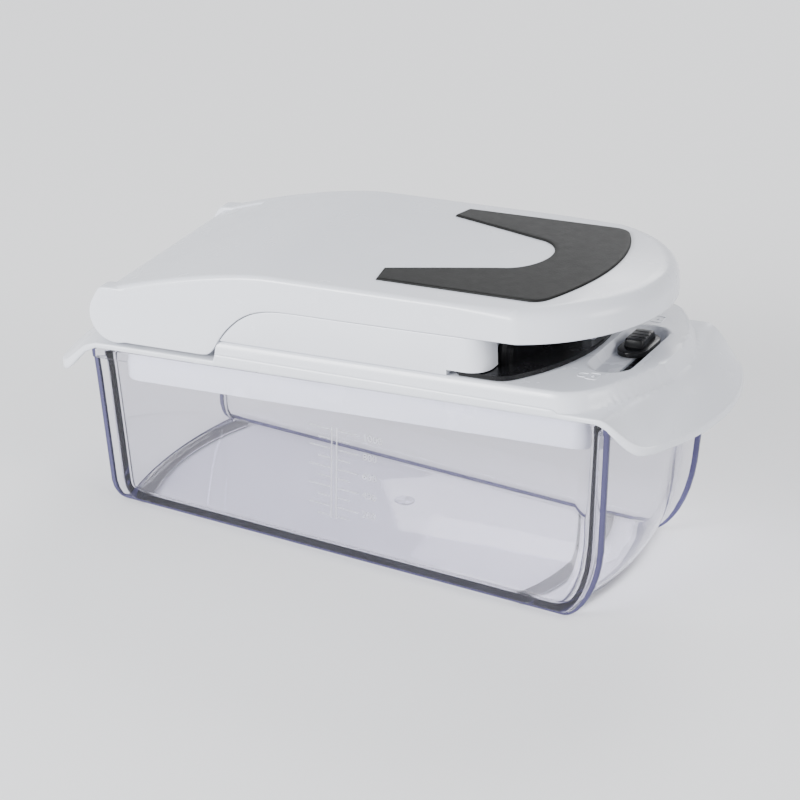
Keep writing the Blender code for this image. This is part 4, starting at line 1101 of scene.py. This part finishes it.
latch = {"x": 87.0, "y": 10.0, "halfX": 6.5, "halfY": 12.4, "low": 6.75, "base": 8.9, "ridgeTop": 12.2,
         "ridgeHalf": 4.3, "ridgeNear": 6.0, "ridgeFar": 8.0, "grooves": (-2.2, 1.0, 4.2), "grooveHalf": 0.35,
         "grooveDepth": 0.45, "plate": (80.0, 92.4, -30.0, 26.5), "arm": (66.5, 87.0, 22.0, 27.0),
         "plateLevels": (3.0, 5.2)}


def makeLatchButton():
    x, y, low, base, top = latch["x"], latch["y"], latch["low"], latch["base"], latch["ridgeTop"]

    def oval(inset, z):
        return stadium(x, y, latch["halfX"] - inset, latch["halfY"] - inset), z
    foot = loft(flatLoops([oval(0.4, low), oval(0.1, low + 0.1), oval(0, low + 0.4), oval(0, base - 0.5),
                           oval(0.15, base - 0.15), oval(0.6, base)]))
    mesh = rawMesh("latch_thumb", foot, rimSpace)
    half, near, far = latch["ridgeHalf"], latch["ridgeNear"], latch["ridgeFar"]
    ridge = []
    for inset, z in ((0.0, base - 1.0), (0.1, base + 1.2), (0.3, top - 1.4), (0.4, top - 0.6),
                     (0.6, top - 0.15), (1.1, top)):
        outline = roundedBox(x - half + inset, x + half - inset, y - near + inset, y + far - inset, 0.9, 4)
        ridge.append((outline, z))
    mesh = cutOrJoin(mesh, loft(flatLoops(ridge)), operation="UNION")
    wide = latch["grooveHalf"]
    grooves = [block(x - 6, x + 6, y + at - wide, y + at + wide, top - latch["grooveDepth"], top + 2)
               for at in latch["grooves"]]
    mesh = cutOrJoin(mesh, joined(grooves))
    piece("latch_thumb", mesh, black, "latch", ("latch_button",), crease=40)
    plate = [(roundedBox(*latch["plate"], 1.0), z) for z in latch["plateLevels"]]
    arm = block(*latch["arm"], *latch["plateLevels"])
    mesh = cutOrJoin(rawMesh("latch_slide_plate", loft(flatLoops(plate)), rimSpace), arm, operation="UNION")
    piece("latch_slide_plate", bevelled(mesh, 0.25), black, "latch", ("latch_plate",))


makeLatchButton()
finerCopy("blade_tray", "blade_tray_moulding", 0.3, black, "frame")
for node, item in frame["nodes"].items():
    if "blade_" in node and node != "blade_tray" or node.startswith("hinge_pin"):
        item.data.materials.clear()
        item.data.materials.append(steel["material"])
print("insert and latch made")


# stage, light and camera

floorMesh = bpy.data.meshes.new("floor")
floorMesh.from_pydata([(-6, -6, 0), (6, -6, 0), (6, 6, 0), (-6, 6, 0)], [], [(0, 1, 2, 3)])
floorMesh.materials.append(paleFloor())
linked("floor", floorMesh)

# each lamp is (place, size, power, colour)
studio = {"sky": (0.95, 0.965, 1.0), "zenith": 0.45, "horizon": 1.55, "aim": (0, 0, 0.06),
          "lights": {"back": ((-0.3, 1.7, 1.3), 0.9, 20.0, (1.0, 1.0, 1.0)),
                     "left": ((-0.9, -1.7, 0.75), 0.8, 74.0, (0.97, 0.985, 1.0)),
                     "right": ((1.7, -0.2, 0.9), 0.7, 16.0, (1.0, 0.99, 0.98))}}
world = bpy.data.worlds.new("studio")
world.use_nodes = True
skyTree = world.node_tree
sky = skyTree.nodes["Background"]
setInputs(sky, {"Color": (*studio["sky"], 1)})
skyPlace = newNode(skyTree, "TexCoord", {})
skySplit = newNode(skyTree, "SeparateXYZ", {})
skyFade = newNode(skyTree, "MapRange", {"To Min": studio["horizon"], "To Max": studio["zenith"]})
skyTree.links.new(skyPlace.outputs["Generated"], skySplit.inputs["Vector"])
skyTree.links.new(skySplit.outputs["Z"], skyFade.inputs["Value"])
skyTree.links.new(skyFade.outputs["Result"], sky.inputs["Strength"])
bpy.context.scene.world = world
for name, (place, size, power, colour) in studio["lights"].items():
    lamp = bpy.data.lights.new(name, "AREA")
    lamp.size, lamp.energy, lamp.color = size, power, colour
    holder = linked(name, lamp)
    holder.location = place
    aim = Vector(studio["aim"]) - Vector(place)
    holder.rotation_euler = aim.to_track_quat("-Z", "Y").to_euler()

view = {"azimuth": 23.75, "elevation": 24.06, "distance": 1.7065, "roll": 4.0, "lens": 186.75,
        "target": (-0.01226, 0.0, 0.05251)}
target = Vector(view["target"]) + Vector((rimOrigin.x * 0.001, 0, 0))
azimuth, elevation, roll = (radians(view[key]) for key in ("azimuth", "elevation", "roll"))
away = Vector((sin(azimuth) * cos(elevation), -cos(azimuth) * cos(elevation), sin(elevation)))
right = Vector((cos(azimuth), sin(azimuth), 0))
up = away.cross(right)
turnedRight = right * cos(roll) + up * sin(roll)
turnedUp = up * cos(roll) - right * sin(roll)
lens = bpy.data.cameras.new("camera")
lens.lens, lens.sensor_width, lens.clip_end = view["lens"], 36.0, 50.0
camera = linked("camera", lens)
spin = Matrix((turnedRight, turnedUp, away)).transposed().to_4x4()
camera.matrix_world = Matrix.Translation(target + away * view["distance"]) @ spin
bpy.context.scene.camera = camera
print("stage ready")
